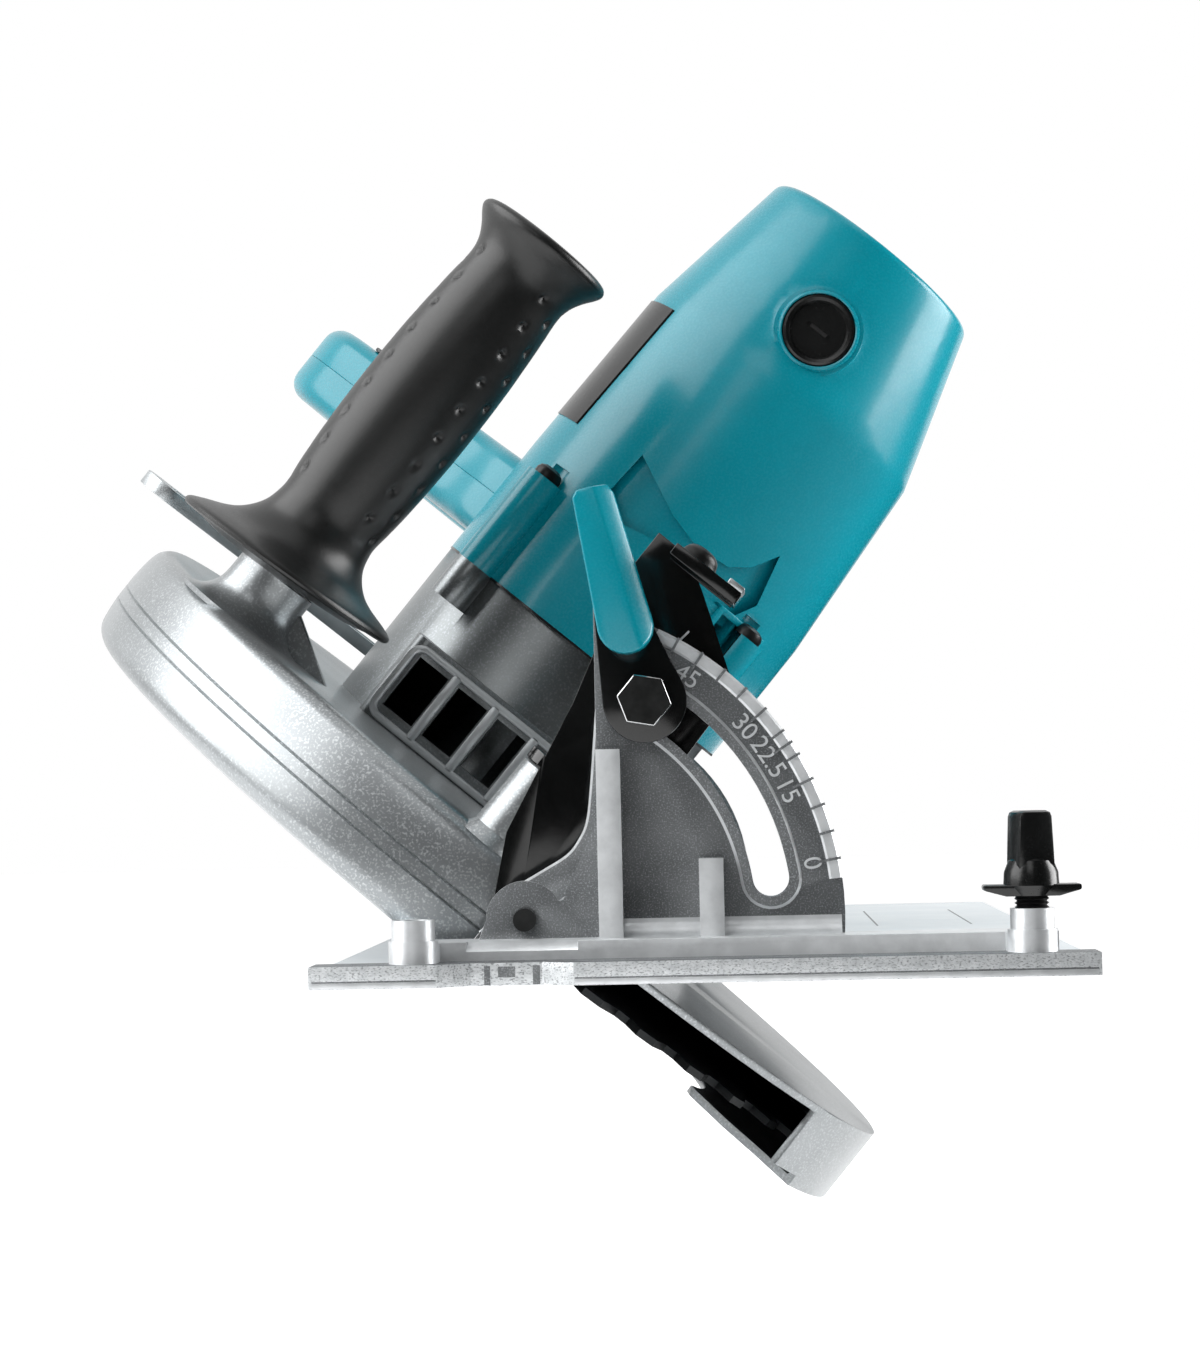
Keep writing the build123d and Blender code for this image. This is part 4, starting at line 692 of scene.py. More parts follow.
@dataclass
class FrontGrip:
    """Rubber front grip: flared at both ends, with columns of small dimples.

    Angles go round the grip's axis from the side that faces forward.
    """

    saw: Saw
    axis_y: float = 90.0
    axis_b: float = 124.2
    outline: Outline = (
        (27.2, 14.0), (27.8, 24.0), (29.4, 33.0), (29.4, 36.2), (30.4, 37.4), (31.8, 36.6), (33.4, 33.0),
        (35.4, 27.4), (37.4, 23.6), (40.4, 20.4), (44.0, 18.1), (48.0, 17.0), (52.0, 16.7), (60.0, 17.6),
        (73.0, 18.5), (91.0, 19.0), (111.0, 18.7), (129.0, 17.6), (139.5, 16.7), (144.5, 17.4), (148.5, 19.4),
        (151.5, 21.6), (153.6, 22.8), (155.2, 22.5), (156.2, 21.0), (156.6, 17.0), (156.8, 0.0))
    outline_steps: int = 24
    skin_step: float = 0.75
    turn_steps: int = 150
    lean: float = 0.05
    lean_start: float = 33.0
    lean_end: float = 55.0
    dimple_span: Pair = (46.0, 146.0)
    dimple_turns: Pair = (318.0, 52.0)
    dimple_columns: int = 11
    dimple_first: float = 58.5
    dimple_step: float = 10.4
    dimple_count: int = 9
    dimple_radius: float = 1.9
    dimple_deep: float = 1.1

    def dimple_places(self) -> list[Pair]:
        """Where the dimples are, as (station, angle in degrees)."""
        places = []
        first, last = self.dimple_turns
        for column in range(self.dimple_columns):
            angle = first + (last - first) * column / (self.dimple_columns - 1)
            start = self.dimple_first - self.dimple_step / 2 * (column % 2)
            places += [(start + self.dimple_step * row, angle) for row in range(self.dimple_count)]
        return places

    def press_dimples(self, bm: BMesh) -> None:
        """Push the skin in at each dimple.

        Args:
            bm: The grip's mesh.
        """
        places = self.dimple_places()
        low, high = self.dimple_span
        for vert in bm.verts:
            out = Vector((0, vert.co.y - self.axis_y, vert.co.z - self.axis_b))
            if out.length < SAME_POINT or not low < vert.co.x < high:
                continue
            angle = math.degrees(math.atan2(out.z, -out.y)) % 360
            for station, column in places:
                across = math.radians((angle - column + 180) % 360 - 180) * out.length
                gap = math.hypot(vert.co.x - station, across) / self.dimple_radius
                if gap < 1:
                    vert.co -= out.normalized() * self.dimple_deep * (1 - gap * gap) ** 2

    def lean_foot(self, bm: BMesh) -> None:
        """Tip the foot's flare a little out of square.

        Args:
            bm: The grip's mesh.
        """
        for vert in bm.verts:
            share = min(1.0, max(0.0, (self.lean_end - vert.co.x) / (self.lean_end - self.lean_start)))
            vert.co.x -= self.lean * share * (vert.co.z - self.axis_b)

    def skin(self) -> list[Pair]:
        """The outline as a smooth line whose points lie close enough together for the dimples."""
        line = flowing(self.outline, self.outline_steps)
        kept = [line[0]]
        for point in line[1:-1]:
            if math.dist(point, kept[-1]) > self.skin_step:
                kept.append(point)
        return [*kept, line[-1]]

    def build(self) -> None:
        """Turn the grip, press its dimples and tip its foot."""
        bm = spun(self.skin(), (self.axis_y, self.axis_b), self.turn_steps)
        self.press_dimples(bm)
        self.lean_foot(bm)
        make_piece("front_grip_rubber", bm, SOFT_RUBBER, "head", ["front_grip"], self.saw.head())


@dataclass
class UpperGuard:
    """Die-cast upper guard: a half drum with two fine creases round its rim, and bosses on the motor side."""

    saw: Saw
    arbor: Pair = (168.0, 17.3)
    radius: float = 154.0
    left: float = -25.0
    right: float = 10.5
    wall: float = 3.5
    bottom: float = 8.0
    hub_radius: float = 26.0
    hub_bore: float = 10.0
    window_radius: float = 34.0
    rim_right: Outline = ((0, 8), (0.6, 4.4), (3.4, 1.6), (8, 0.5), (14, 0))
    rim_left: Outline = ((9, 0.4), (4, 1.4), (1, 4.2), (0, 8))
    rim_steps: int = 4
    corner: float = 3.0
    foot_round: float = 0.6
    smooth: float = math.radians(24)
    creases: tuple[float, ...] = (-6.5, -11.0)
    crease_half: float = 0.45
    crease_deep: float = 0.5
    notch: Pair = (68.0, 86.0)
    notch_turn: Pair = (-20.0, 30.0)
    steps: int = 180
    grip_place: Pair = (90.0, 125.0)
    grip_seat: float = 27.0
    pivot_place: Pair = (24.0, 20.0)
    clamp_place: Pair = (300.94, 44.23)
    gusset_half: float = 2.2

    def profile(self) -> list[Pair]:
        """The shell's section: right wall, crowned rim, left wall, and back inside."""
        rim = flowing([(self.right - aside, self.radius - down) for aside, down in self.rim_right],
                      self.rim_steps)
        for crease in self.creases:
            rim += [(crease + self.crease_half, self.radius), (crease, self.radius - self.crease_deep),
                    (crease - self.crease_half, self.radius)]
        rim += flowing([(self.left + aside, self.radius - down) for aside, down in self.rim_left],
                       self.rim_steps)
        inner = self.radius - self.wall
        left, right = self.left + self.wall, self.right - self.wall
        low, high = self.notch
        hub = self.hub_radius - 2
        inside = [(left, inner - self.corner), (left + self.corner, inner),
                  (right - self.corner, inner), (right, inner - self.corner)]
        return [(self.right, hub), (self.right, low), (self.right, high), *rim,
                (self.left, self.window_radius), (left, self.window_radius), *inside,
                (right, high), (right, low), (right, hub)]

    def in_notch(self, face: BMFace) -> bool:
        """Whether a face lies in the slot for the guard lever."""
        middle = face.calc_center_median()
        out = Vector((middle.y - self.arbor[0], middle.z - self.arbor[1]))
        turn = math.degrees(math.atan2(out.y, out.x))
        inside = self.notch[0] < out.length < self.notch[1]
        return inside and self.notch_turn[0] < turn < self.notch_turn[1] and middle.x > 0

    def shell(self) -> BMesh:
        """The half drum, slotted for the guard lever and cut off flat below the arbor."""
        bm = spun(self.profile(), self.arbor, self.steps, closed=True)
        slot = [face for face in bm.faces if self.in_notch(face)]
        bmesh.ops.delete(bm, geom=slot, context="FACES")
        bmesh.ops.bridge_loops(bm, edges=[edge for edge in bm.edges if edge.is_boundary])
        cut = bmesh.ops.bisect_plane(bm, geom=[*bm.verts, *bm.edges, *bm.faces], dist=SAME_POINT,
                                     plane_co=(0, 0, self.bottom), plane_no=-Z_AXIS, clear_outer=True)
        rims = [item for item in cut["geom_cut"] if isinstance(item, BMEdge)]
        bmesh.ops.holes_fill(bm, edges=rims, sides=0)
        bmesh.ops.recalc_face_normals(bm, faces=bm.faces)
        just_above = self.bottom + 0.01
        foot = [edge for edge in sharp_edges(bm) if max(vert.co.z for vert in edge.verts) < just_above]
        soften(bm, foot, self.foot_round)
        return bm

    def bosses(self) -> list[BMesh]:
        """Hub, grip boss with its flared root and gusset, and the depth pivot and clamp bosses."""
        right = self.right
        hub = spun([(-2, self.hub_bore), (-2, self.hub_radius), (right + 0.1, self.hub_radius),
                    (right + 0.1, self.hub_bore)], self.arbor, 64, closed=True)
        seat = self.grip_seat
        flare = flowing(((right - 0.4, 22.0), (right + 1.2, 17.4), (right + 4, 14.6), (right + 8, 13.2),
                         (seat - 0.6, 12.9), (seat, 12.3), (seat, 5.0)), self.rim_steps)
        grip = spun([(right - 2, 0), (right - 2, 21), *flare, (seat, 0)], self.grip_place, 64)
        pivot = spun([(right - 2, 0), (right - 2, 12), (right + 2, 9.4), (33.6, 9), (34.2, 8.4), (34.2, 0)],
                     self.pivot_place)
        clamp = spun([(right - 2, 0), (right - 2, 11), (right + 2, 8.4), (16.5, 8), (17, 7.5), (17, 0)],
                     self.clamp_place)
        grip_y, grip_b = self.grip_place
        side = grip_y - self.gusset_half
        gusset = prism(((right - 1, side, grip_b - 34), (seat - 3, side, grip_b - 10),
                        (right - 1, side, grip_b - 8)), (0, 2 * self.gusset_half, 0), 0.8)
        return [hub, grip, pivot, clamp, gusset]

    def build(self) -> None:
        """Join the shell and its bosses and give them silver lacquer."""
        bm = join(self.shell(), *self.bosses())
        make_piece("upper_guard_casting", bm, LACQUERED, "head", ["upper_guard"], self.saw.head(),
                   self.smooth)


@dataclass
class SawBase:
    """Base casting: the CAD form with soft edges, its bevel scale, slot rim, foot fillets and marks."""

    saw: Saw
    centre_z: float = 16.15
    radius: float = 87.0
    strip_inner: float = 83.4
    strip_high: float = 0.8
    strip_turn: Pair = (6.5, 64.0)
    zero_turn: float = 10.0
    tick_step: int = 5
    tick_last: int = 50
    tick_wide: float = 0.7
    tick_high: float = 1.3
    labels: tuple[float, ...] = (0, 15, 22.5, 30, 45)
    label_radius: float = 77.4
    label_size: float = 7.0
    label_high: float = 0.35
    slot_radius: float = 67.9
    slot_half: float = 4.95
    slot_turn: Pair = (8.4, 61.4)
    rim_wide: float = 3.4
    rim_high: float = 0.8
    rail_top: float = 11.0
    fillet: float = 5.0
    web_edge: Outline = (
        (-0.7, 26.4), (5.5, 29.9), (11.6, 33.6), (14.8, 37.4), (17.2, 42.7), (18.5, 52.5), (19.6, 64.7),
        (20.6, 76.0))
    web_back: Outline = ((22.0, 76.0), (22.0, 30.0), (9.0, 20.0), (0.0, 20.0))
    web_span: Pair = (0.05, 7.9)
    lip_spans: Outline = ((-54.6, -21.8), (14.8, 151.6))
    lip_foot: Triple = (0.2, 1.7, -30.2)
    lip_tear: Triple = (1.7, 2.1, -30.1)
    lip_back: float = -29.5
    arc_steps: int = 40
    end_steps: int = 14
    fillet_spans: Outline = ((27.0, 47.7), (54.3, 86.0))
    sight_slots: tuple[tuple[float, float, float, float], ...] = (
        (-9.4, -7.8, 0.2, 5.2), (3.5, 5.4, 0.2, 5.2), (-5.7, -1.2, 2.2, 5.0))
    sight_face: float = -25.06
    line_stations: tuple[float, ...] = (103.7, 134.6)
    line_span: Pair = (195.0, 315.0)
    line_half: float = 0.3
    line_top: float = 4.04
    mark_deep: float = 0.5
    sole_top: float = 4.5
    sole_front: float = 9.0
    rib_front: float = -3.5
    rib_span: Pair = (6.2, 63.5)
    lip_front: float = -23.5
    lip_top: float = 6.5

    def tilt_axis(self) -> Vector:
        """A point of the axis on which the head tilts."""
        return Vector((0, 0, self.centre_z))

    def arc(self, section: Sequence[Pair], start: float, end: float, steps: int) -> BMesh:
        """A bar bent round the tilt axis.

        Args:
            section: Its corners as (radius, Y).
            start: First angle, in degrees from +X.
            end: Last angle.
            steps: Pieces along it.

        Returns:
            The closed mesh.
        """
        corners_at_zero = [(radius, along, self.centre_z) for radius, along in section]
        return bent(corners_at_zero, self.tilt_axis(), -Y_AXIS, start, end, steps)

    def strip(self) -> BMesh:
        """The worn outer strip of the quadrant."""
        return self.arc(((self.strip_inner, 0.3), (self.strip_inner, -self.strip_high * 0.5),
                          (self.strip_inner + 0.6, -self.strip_high), (self.radius - 0.5, -self.strip_high),
                          (self.radius + 0.1, -0.2), (self.radius + 0.1, 0.3)), *self.strip_turn, 48)

    def ticks(self) -> BMesh:
        """Ridges across the strip, longer at the numbers."""
        ridges = bmesh.new()
        for tilt in sorted({*range(0, self.tick_last + 1, self.tick_step), *self.labels}):
            inner = self.strip_inner - (2.0 if tilt in self.labels else 0.3)
            half = math.degrees(self.tick_wide / 2 / self.radius)
            middle = self.zero_turn + tilt
            outer = self.radius + 0.4
            section = ((inner, 0.3), (inner, -self.tick_high), (outer, -self.tick_high), (outer, 0.3))
            join(ridges, self.arc(section, middle - half, middle + half, 1))
        return ridges

    def slot_rim(self) -> BMesh:
        """The raised rim round the arc slot: one section led along both sides and round both ends."""
        bm = bmesh.new()
        near = self.slot_radius + self.slot_half
        far = near + self.rim_wide
        section = ((near, 0.2), (near, -self.rim_high), (far - 0.8, -self.rim_high), (far, -0.1), (far, 0.2))
        verts = [bm.verts.new((radius, along, self.centre_z)) for radius, along in section]
        edges = [bm.edges.new(pair) for pair in zip(verts, [*verts[1:], verts[0]])]
        axis = self.tilt_axis()
        start, end = (math.radians(turn) for turn in self.slot_turn)
        bmesh.ops.rotate(bm, cent=axis, matrix=Matrix.Rotation(-start, 3, "Y"), verts=verts)
        led = [*verts, *edges]
        turns = ((axis, end - start, self.arc_steps), (self.slot_end(end), math.pi, self.end_steps),
                 (axis, start - end, self.arc_steps), (self.slot_end(start), math.pi, self.end_steps))
        for about, angle, steps in turns:
            swept = bmesh.ops.spin(bm, geom=led, cent=about, axis=-Y_AXIS, angle=angle, steps=steps)
            led = swept["geom_last"]
        bmesh.ops.remove_doubles(bm, verts=bm.verts, dist=10 * SAME_POINT)
        bmesh.ops.recalc_face_normals(bm, faces=bm.faces)
        return bm

    def slot_end(self, turn: float) -> Vector:
        """The centre of the slot's round end at an angle."""
        return self.tilt_axis() + self.slot_radius * Vector((math.cos(turn), 0, math.sin(turn)))

    def number(self, tilt: float) -> BMesh:
        """A raised number of the bevel scale, standing on the arc with its top outwards.

        Args:
            tilt: The bevel in degrees.

        Returns:
            The number's mesh.
        """
        curve = bpy.data.curves.new("number", "FONT")
        curve.body = f"{tilt:g}"
        curve.size = self.label_size
        curve.align_x = "CENTER"
        curve.extrude = self.label_high
        holder = bpy.data.objects.new("number", curve)
        mesh = bpy.data.meshes.new_from_object(holder)
        bm = bmesh.new()
        bm.from_mesh(mesh)
        bpy.data.objects.remove(holder)
        bpy.data.curves.remove(curve)
        bpy.data.meshes.remove(mesh)
        bmesh.ops.remove_doubles(bm, verts=bm.verts, dist=SAME_POINT)
        turn = math.radians(self.zero_turn + tilt)
        out = Vector((math.cos(turn), 0, math.sin(turn)))
        along = Vector((math.sin(turn), 0, -math.cos(turn)))
        stood = Matrix((along, out, -Y_AXIS)).transposed().to_4x4()
        at = Matrix.Translation(self.tilt_axis() + out * self.label_radius)
        bmesh.ops.transform(bm, matrix=at @ stood, verts=bm.verts)
        return bm

    def foot_fillet(self, left: float, right: float) -> BMesh:
        """The hollow fillet between the rail's top and the quadrant's face.

        Args:
            left: First station on X.
            right: Last station on X.

        Returns:
            The fillet's mesh.
        """
        bm = bmesh.new()
        first = bm.verts.new((left, -self.fillet, self.rail_top))
        bmesh.ops.spin(bm, geom=[first], cent=(left, -self.fillet, self.rail_top + self.fillet), axis=X_AXIS,
                       angle=math.pi / 2, steps=8)
        corner = bm.verts.new((left, 0.2, self.rail_top - 0.2))
        ends = [vert for vert in bm.verts if len(vert.link_edges) == 1]
        for vert in ends:
            bm.edges.new((vert, corner))
        face = bmesh.ops.contextual_create(bm, geom=bm.edges)["faces"][0]
        pushed = bmesh.ops.extrude_face_region(bm, geom=[face], use_keep_orig=True)["geom"]
        bmesh.ops.translate(bm, vec=(right - left, 0, 0), verts=[v for v in pushed if isinstance(v, BMVert)])
        bmesh.ops.recalc_face_normals(bm, faces=bm.faces)
        return bm

    def web(self) -> BMesh:
        """The hollow-edged web between the lug and the quadrant's left edge."""
        front, back = self.web_span
        outline = [*flowing(self.web_edge), *self.web_back]
        return prism([(across, front, up) for across, up in outline], (0, back - front, 0), 0.7)

    def lip_band(self, low: float, high: float, front: float) -> BMesh:
        """A band along the lip's front face, on both sides of the sight notch.

        Args:
            low: Its lower edge.
            high: Its upper edge.
            front: Its front face.

        Returns:
            The band's mesh.
        """
        bm = bmesh.new()
        for left, right in self.lip_spans:
            join(bm, block((left, front, low), (right, self.lip_back, high), 0.05))
        return bm

    def marks(self) -> BMesh:
        """Sight slots in the front notch and the ruled lines on the sole."""
        bm = bmesh.new()
        for left, right, low, high in self.sight_slots:
            join(bm, block((left, self.sight_face, low), (right, self.sight_face + self.mark_deep, high)))
        front, back = self.line_span
        for station in self.line_stations:
            join(bm, block((station - self.line_half, front, self.line_top - self.mark_deep),
                           (station + self.line_half, back, self.line_top)))
        return bm

    def build(self) -> None:
        """Soften the casting, finish its faces and add the scale, rim, numbers and marks."""
        place = self.saw.base()
        soft = self.saw.softened("base_plate", 0.8)
        casting = make_piece("base_casting", soft, BLASTED, "base", ["base_plate"])
        low, high = (height * MM for height in self.rib_span)
        # Up-facing faces of the sole painted paler: a painted highlight.
        paint(casting, SOLE_TOP_HIGHLIGHT, lambda at, way: (
            way.z > 0.9 and at.z < self.sole_top * MM and at.y > self.sole_front * MM))
        paint(casting, RUBBED_AND_HIGHLIT, lambda at, way: at.y < self.rib_front * MM and low < at.z < high)
        # Rounded edges that face the front painted bright: a painted highlight.
        paint(casting, RUBBED_AND_HIGHLIT, lambda at, way: on_front_rounding(way) and at.z > low)
        paint(casting, MILLED, lambda at, way: (
            way.y < -0.3 and at.y < self.lip_front * MM and at.z < self.lip_top * MM))
        web = make_piece("quadrant_web", self.web(), BLASTED, "base", (), place)
        # Rounded edges that face the front painted bright: a painted highlight.
        paint(web, RUBBED_AND_HIGHLIT, lambda at, way: on_front_rounding(way))
        rubbed = join(self.strip(), *(self.foot_fillet(*span) for span in self.fillet_spans))
        make_piece("bevel_scale", rubbed, RUBBED_AND_HIGHLIT, "base", (), place)
        make_piece("scale_ticks", self.ticks(), BLASTED, "base", (), place)
        rim = make_piece("slot_rim", self.slot_rim(), BLASTED, "base", (), place)
        paint(rim, RUBBED_AND_HIGHLIT, lambda at, way: way.y > -0.9)
        numbers = join(bmesh.new(), *(self.number(tilt) for tilt in self.labels))
        make_piece("scale_numbers", numbers, RUBBED_AND_HIGHLIT, "base", (), place)
        make_piece("base_marks", self.marks(), BLASTED, "base", (), place)
        make_piece("lip_foot", self.lip_band(*self.lip_foot), RUBBED_AND_HIGHLIT, "base", (), place)
        make_piece("lip_tear", self.lip_band(*self.lip_tear), BLASTED, "base", (), place)


@dataclass
class MotorHousing:
    """Moulded motor housing: the CAD form with the bracket's recess, an outlet vent and a seam.

    Angles go down from the front of the motor's axis.
    """

    saw: Saw
    axis: Pair = (168.0, 44.3)
    skin: float = 54.0
    floor: float = 50.4
    recess: Outline = (
        (126, 64.5), (111.5, 65.5), (105, 57), (107.4, 45.5), (104, 30), (104, 12), (112, 8), (128.5, 12),
        (120, 16.5), (115.5, 22), (114, 33), (117, 45), (122.5, 57))
    recess_front: float = 95.0
    recess_deep: float = 60.0
    floor_span: Pair = (100.0, 132.0)
    floor_turn: Pair = (-42.0, 60.0)
    vent: Pair = (86.5, 103.0)
    vent_turn: Pair = (33.0, 53.0)
    bar_turns: tuple[float, ...] = (39.6, 46.4)
    bar_half: float = 0.6
    frame_wide: float = 2.2
    frame_high: float = 1.2
    frame_round: float = 0.5
    seam: float = 67.0
    seam_deep: float = 3.0

    def hoop(self, span: Pair, depth: Pair, turn: Pair,
             rounding: float = 0.0) -> BMesh:
        """A bar bent round the motor's axis.

        Args:
            span: First and last station along the motor.
            depth: Inner and outer radius.
            turn: First and last angle, in degrees.
            rounding: Size of the rounded edges.

        Returns:
            The closed mesh.
        """
        front, up = self.axis
        section = [(along, front - radius, up) for along, radius in (
            (span[0], depth[0]), (span[1], depth[0]), (span[1], depth[1]), (span[0], depth[1]))]
        bm = bent(section, (0, front, up), X_AXIS, *turn, max(1, round((turn[1] - turn[0]) / 3)))
        if rounding:
            soften(bm, sharp_edges(bm), rounding)
        return bm

    def shell(self) -> BMesh:
        """The CAD housing, opened at the recess and the vent."""
        bm = self.saw.softened("motor_housing", 0.8)
        bmesh.ops.transform(bm, matrix=self.saw.head().inverted(), verts=bm.verts)
        outline = [(along, self.recess_front, up) for along, up in self.recess]
        opening = prism(outline, (0, self.recess_deep, 0))
        outlet = self.hoop(self.vent, (self.floor - 8, self.skin + 6), self.vent_turn)
        return carved(bm, opening, outlet)

    def lining(self) -> BMesh:
        """The recess floor, the vent's back, its bars and its raised frame."""
        left, right = self.vent
        first, last = self.vent_turn
        wide = math.degrees(self.frame_wide / self.skin)
        raised = (self.floor - 1, self.skin + self.frame_high)
        edge = right + self.frame_wide
        parts = [self.hoop(self.floor_span, (self.floor - 1, self.floor), self.floor_turn),
                 self.hoop((left - 3, right + 3), (self.floor - 6, self.floor - 5), (first - 4, last + 4)),
                 self.hoop((right, edge), raised, (first - wide, last + wide), self.frame_round),
                 self.hoop((left - 1, edge), raised, (last, last + wide), self.frame_round),
                 self.hoop((left - 1, edge), raised, (first - wide, first), self.frame_round)]
        for turn in self.bar_turns:
            parts.append(self.hoop((left - 1, right + 1), (self.floor - 1, self.skin + 0.2),
                                   (turn - self.bar_half, turn + self.bar_half)))
        return join(*parts)

    def build(self) -> None:
        """Make the moulding, its recess and the shadow gap against the gear case."""
        place = self.saw.head()
        make_piece("motor_moulding", self.shell(), TEAL_NYLON, "head", ["motor_housing"], place)
        make_piece("motor_recess", self.lining(), TEAL_NYLON, "head", (), place)
        first, last = self.seam - 0.4, self.seam + 0.3
        inner, outer = self.skin - self.seam_deep, self.skin + 0.1
        ring = ((first, inner), (first, outer), (last, outer), (last, inner))
        gap = spun(ring, self.axis, 96, closed=True)
        make_piece("motor_seam", gap, BLACK_NYLON, "head", (), place)


@dataclass
class BrushCaps:
    """Black screw caps over the carbon brushes, each in a teal lip."""

    saw: Saw
    place: Pair = (190.0, 46.05)
    faces: Outline = ((117.5, -90.0), (218.5, 90.0))
    cap: Outline = (
        (-3, 11.3), (-0.9, 11.3), (-0.25, 10.9), (0, 10.2), (-0.2, 9.2), (-0.9, 8.7), (-1.5, 8.5), (-1.5, 0))
    lip: Outline = ((-4, 11.4), (-0.4, 11.4), (-0.2, 11.8), (-0.5, 12.4), (-4, 13.2))
    slot_half: Pair = (0.65, 4.2)
    slot_span: Pair = (-2.4, 1.0)

    def build(self) -> None:
        """Turn both caps, slot them and set them in their lips."""
        caps = bmesh.new()
        lips = bmesh.new()
        wide, tall = self.slot_half
        low, high = self.slot_span
        for face, turn in self.faces:
            slot = block((low, -wide, -tall), (high, wide, tall))
            cap = carved(spun([(-3, 0), *self.cap], (0, 0), 64), slot)
            lip = spun(self.lip, (0, 0), 64, closed=True)
            stood = Matrix.Translation((self.place[0], face, self.place[1]))
            stood = stood @ Matrix.Rotation(math.radians(turn), 4, "Z")
            for bm in (cap, lip):
                bmesh.ops.transform(bm, matrix=stood, verts=bm.verts)
            join(caps, cap)
            join(lips, lip)
        make_piece("brush_cap_screws", caps, BLACK_NYLON, "head", ["brush_caps"], self.saw.head())
        make_piece("brush_cap_lips", lips, TEAL_NYLON, "head", (), self.saw.head())


@dataclass
class GearVent:
    """Gear case: the CAD form with a raised rim and bright bars at its exhaust vent."""

    saw: Saw
    face: float = 112.0
    rim_out: tuple[float, float, float, float] = (11.0, 38.6, 17.6, 82.4)
    rim_wide: float = 2.4
    rim_round: float = 5.0
    rim_high: float = 1.4
    bars: tuple[float, ...] = (34.75, 50.0, 65.25)
    bar_half: float = 1.5
    bar_deep: float = 3.0

    def plate(self, inset: float, front: float, back: float) -> BMesh:
        """A block of the rim's outline with round corners.

        Args:
            inset: How far inside the outline.
            front: Its front face.
            back: Its back face.

        Returns:
            The closed mesh.
        """
        left, right, low, high = self.rim_out
        bm = block((left + inset, front, low + inset), (right - inset, back, high - inset))
        uprights = [edge for edge in bm.edges if abs(edge.verts[0].co.y - edge.verts[1].co.y) > 0.1]
        soften(bm, uprights, self.rim_round - inset, 5)
        return bm

    def build(self) -> None:
        """Soften the case and set the rim and the bars on it."""
        case = self.saw.softened("gear_housing", 1.2)
        make_piece("gear_case", case, CASE_LACQUER, "head", ["gear_housing"])
        rim = carved(self.plate(0, self.face - self.rim_high, self.face + 1.5),
                     self.plate(self.rim_wide, self.face - 3, self.face + 3))
        soften(rim, sharp_edges(rim, math.radians(60)), 0.5)
        left, right = self.rim_out[:2]
        front = self.face - self.rim_high
        for middle in self.bars:
            join(rim, block((left + 1, front, middle - self.bar_half),
                            (right - 1, front + self.bar_deep, middle + self.bar_half), 0.6))
        # The vent's rim and bars in a paler lacquer: a painted highlight.
        make_piece("gear_vent_rim", rim, PALE_LACQUER, "head", (), self.saw.head())


@dataclass
class BevelLever:
    """Bevel clamp: a black steel arm round a hex bolt, with a teal grip whose right front edge is cut off.

    Drawn with X across the lever, Z along it from the bolt, and Y rearward.
    """

    saw: Saw
    bolt_radius: float = 67.9
    bolt_turn: float = math.radians(59.9)
    lever_turn: float = math.radians(102.8)
    grip_front: float = -16.0
    plate: Pair = (-5.5, -2.3)
    grip_low: float = 13.0
    grip_half: float = 7.5
    grip_top: Outline = ((5.6, 56.4), (4.3, 58.8), (-3.8, 59.0), (-5.4, 57.2))
    facet_at: Triple = (1.8, -16.0, 40.0)
    facet_way: Triple = (0.62, -0.78, 0.03)
    eye: float = 11.4
    arm_top: Outline = ((3.4, 34.4), (-6.5, 34.0))

    def place(self) -> Matrix:
        """From lever millimetres to the row frame in metres."""
        along = Vector((math.cos(self.lever_turn), 0, math.sin(self.lever_turn)))
        across = Vector((along.z, 0, -along.x))
        bolt = Vector((math.cos(self.bolt_turn), 0, math.sin(self.bolt_turn))) * self.bolt_radius
        turn = Matrix((across, Y_AXIS, along)).transposed().to_4x4()
        return self.saw.base() @ Matrix.Translation(bolt + Z_AXIS * self.saw.tilt_height) @ turn

    def grip(self) -> BMesh:
        """The tapered grip with its long facet."""
        middle = self.grip_low + self.grip_half
        arc = [math.radians(turn) for turn in range(180, 361, 15)]
        half = self.grip_half
        outline = [(half * math.cos(turn), middle + half * math.sin(turn)) for turn in arc]
        bm = prism([(across, self.grip_front, along) for across, along in (*outline, *self.grip_top)],
                   (0, self.plate[1] - 0.3 - self.grip_front, 0))
        bmesh.ops.bisect_plane(bm, geom=[*bm.verts, *bm.edges, *bm.faces], dist=SAME_POINT,
                               plane_co=self.facet_at, plane_no=self.facet_way, clear_outer=True)
        bmesh.ops.holes_fill(bm, edges=[edge for edge in bm.edges if edge.is_boundary], sides=0)
        bmesh.ops.recalc_face_normals(bm, faces=bm.faces)
        soften(bm, sharp_edges(bm), 0.8, 3)
        return bm

    def arm(self) -> BMesh:
        """The flat arm: a round eye that narrows up to the grip."""
        arc = [math.radians(turn) for turn in range(168, 378, 7)]
        outline = [(self.eye * math.cos(turn), self.eye * math.sin(turn)) for turn in arc]
        front, back = self.plate
        corners_at_front = [(across, front, along) for across, along in (*outline, *self.arm_top)]
        return prism(corners_at_front, (0, back - front, 0), 0.5)

    def build(self) -> None:
        """Make the grip, the arm and the bolt, with a painted highlight on the bolt's front corners."""
        place = self.place()
        make_piece("lever_grip", self.grip(), TEAL_NYLON, "bevel_lever", ["bevel_lever_grip"], place)
        make_piece("lever_arm", self.arm(), ELECTROCOAT, "bevel_lever", ["bevel_lever_arm"], place)
        bolt = make_piece("clamp_bolt", self.saw.softened("bevel_bolt", 0.45), BLACK_OXIDE, "bevel_lever",
                          ["bevel_bolt"])
        # The bolt's rounded corners that face the front get bright plating: a painted highlight.
        paint(bolt, NICKEL_AND_HIGHLIGHT, lambda at, way: at.y < -0.006 and -0.95 < way.y < -0.3)


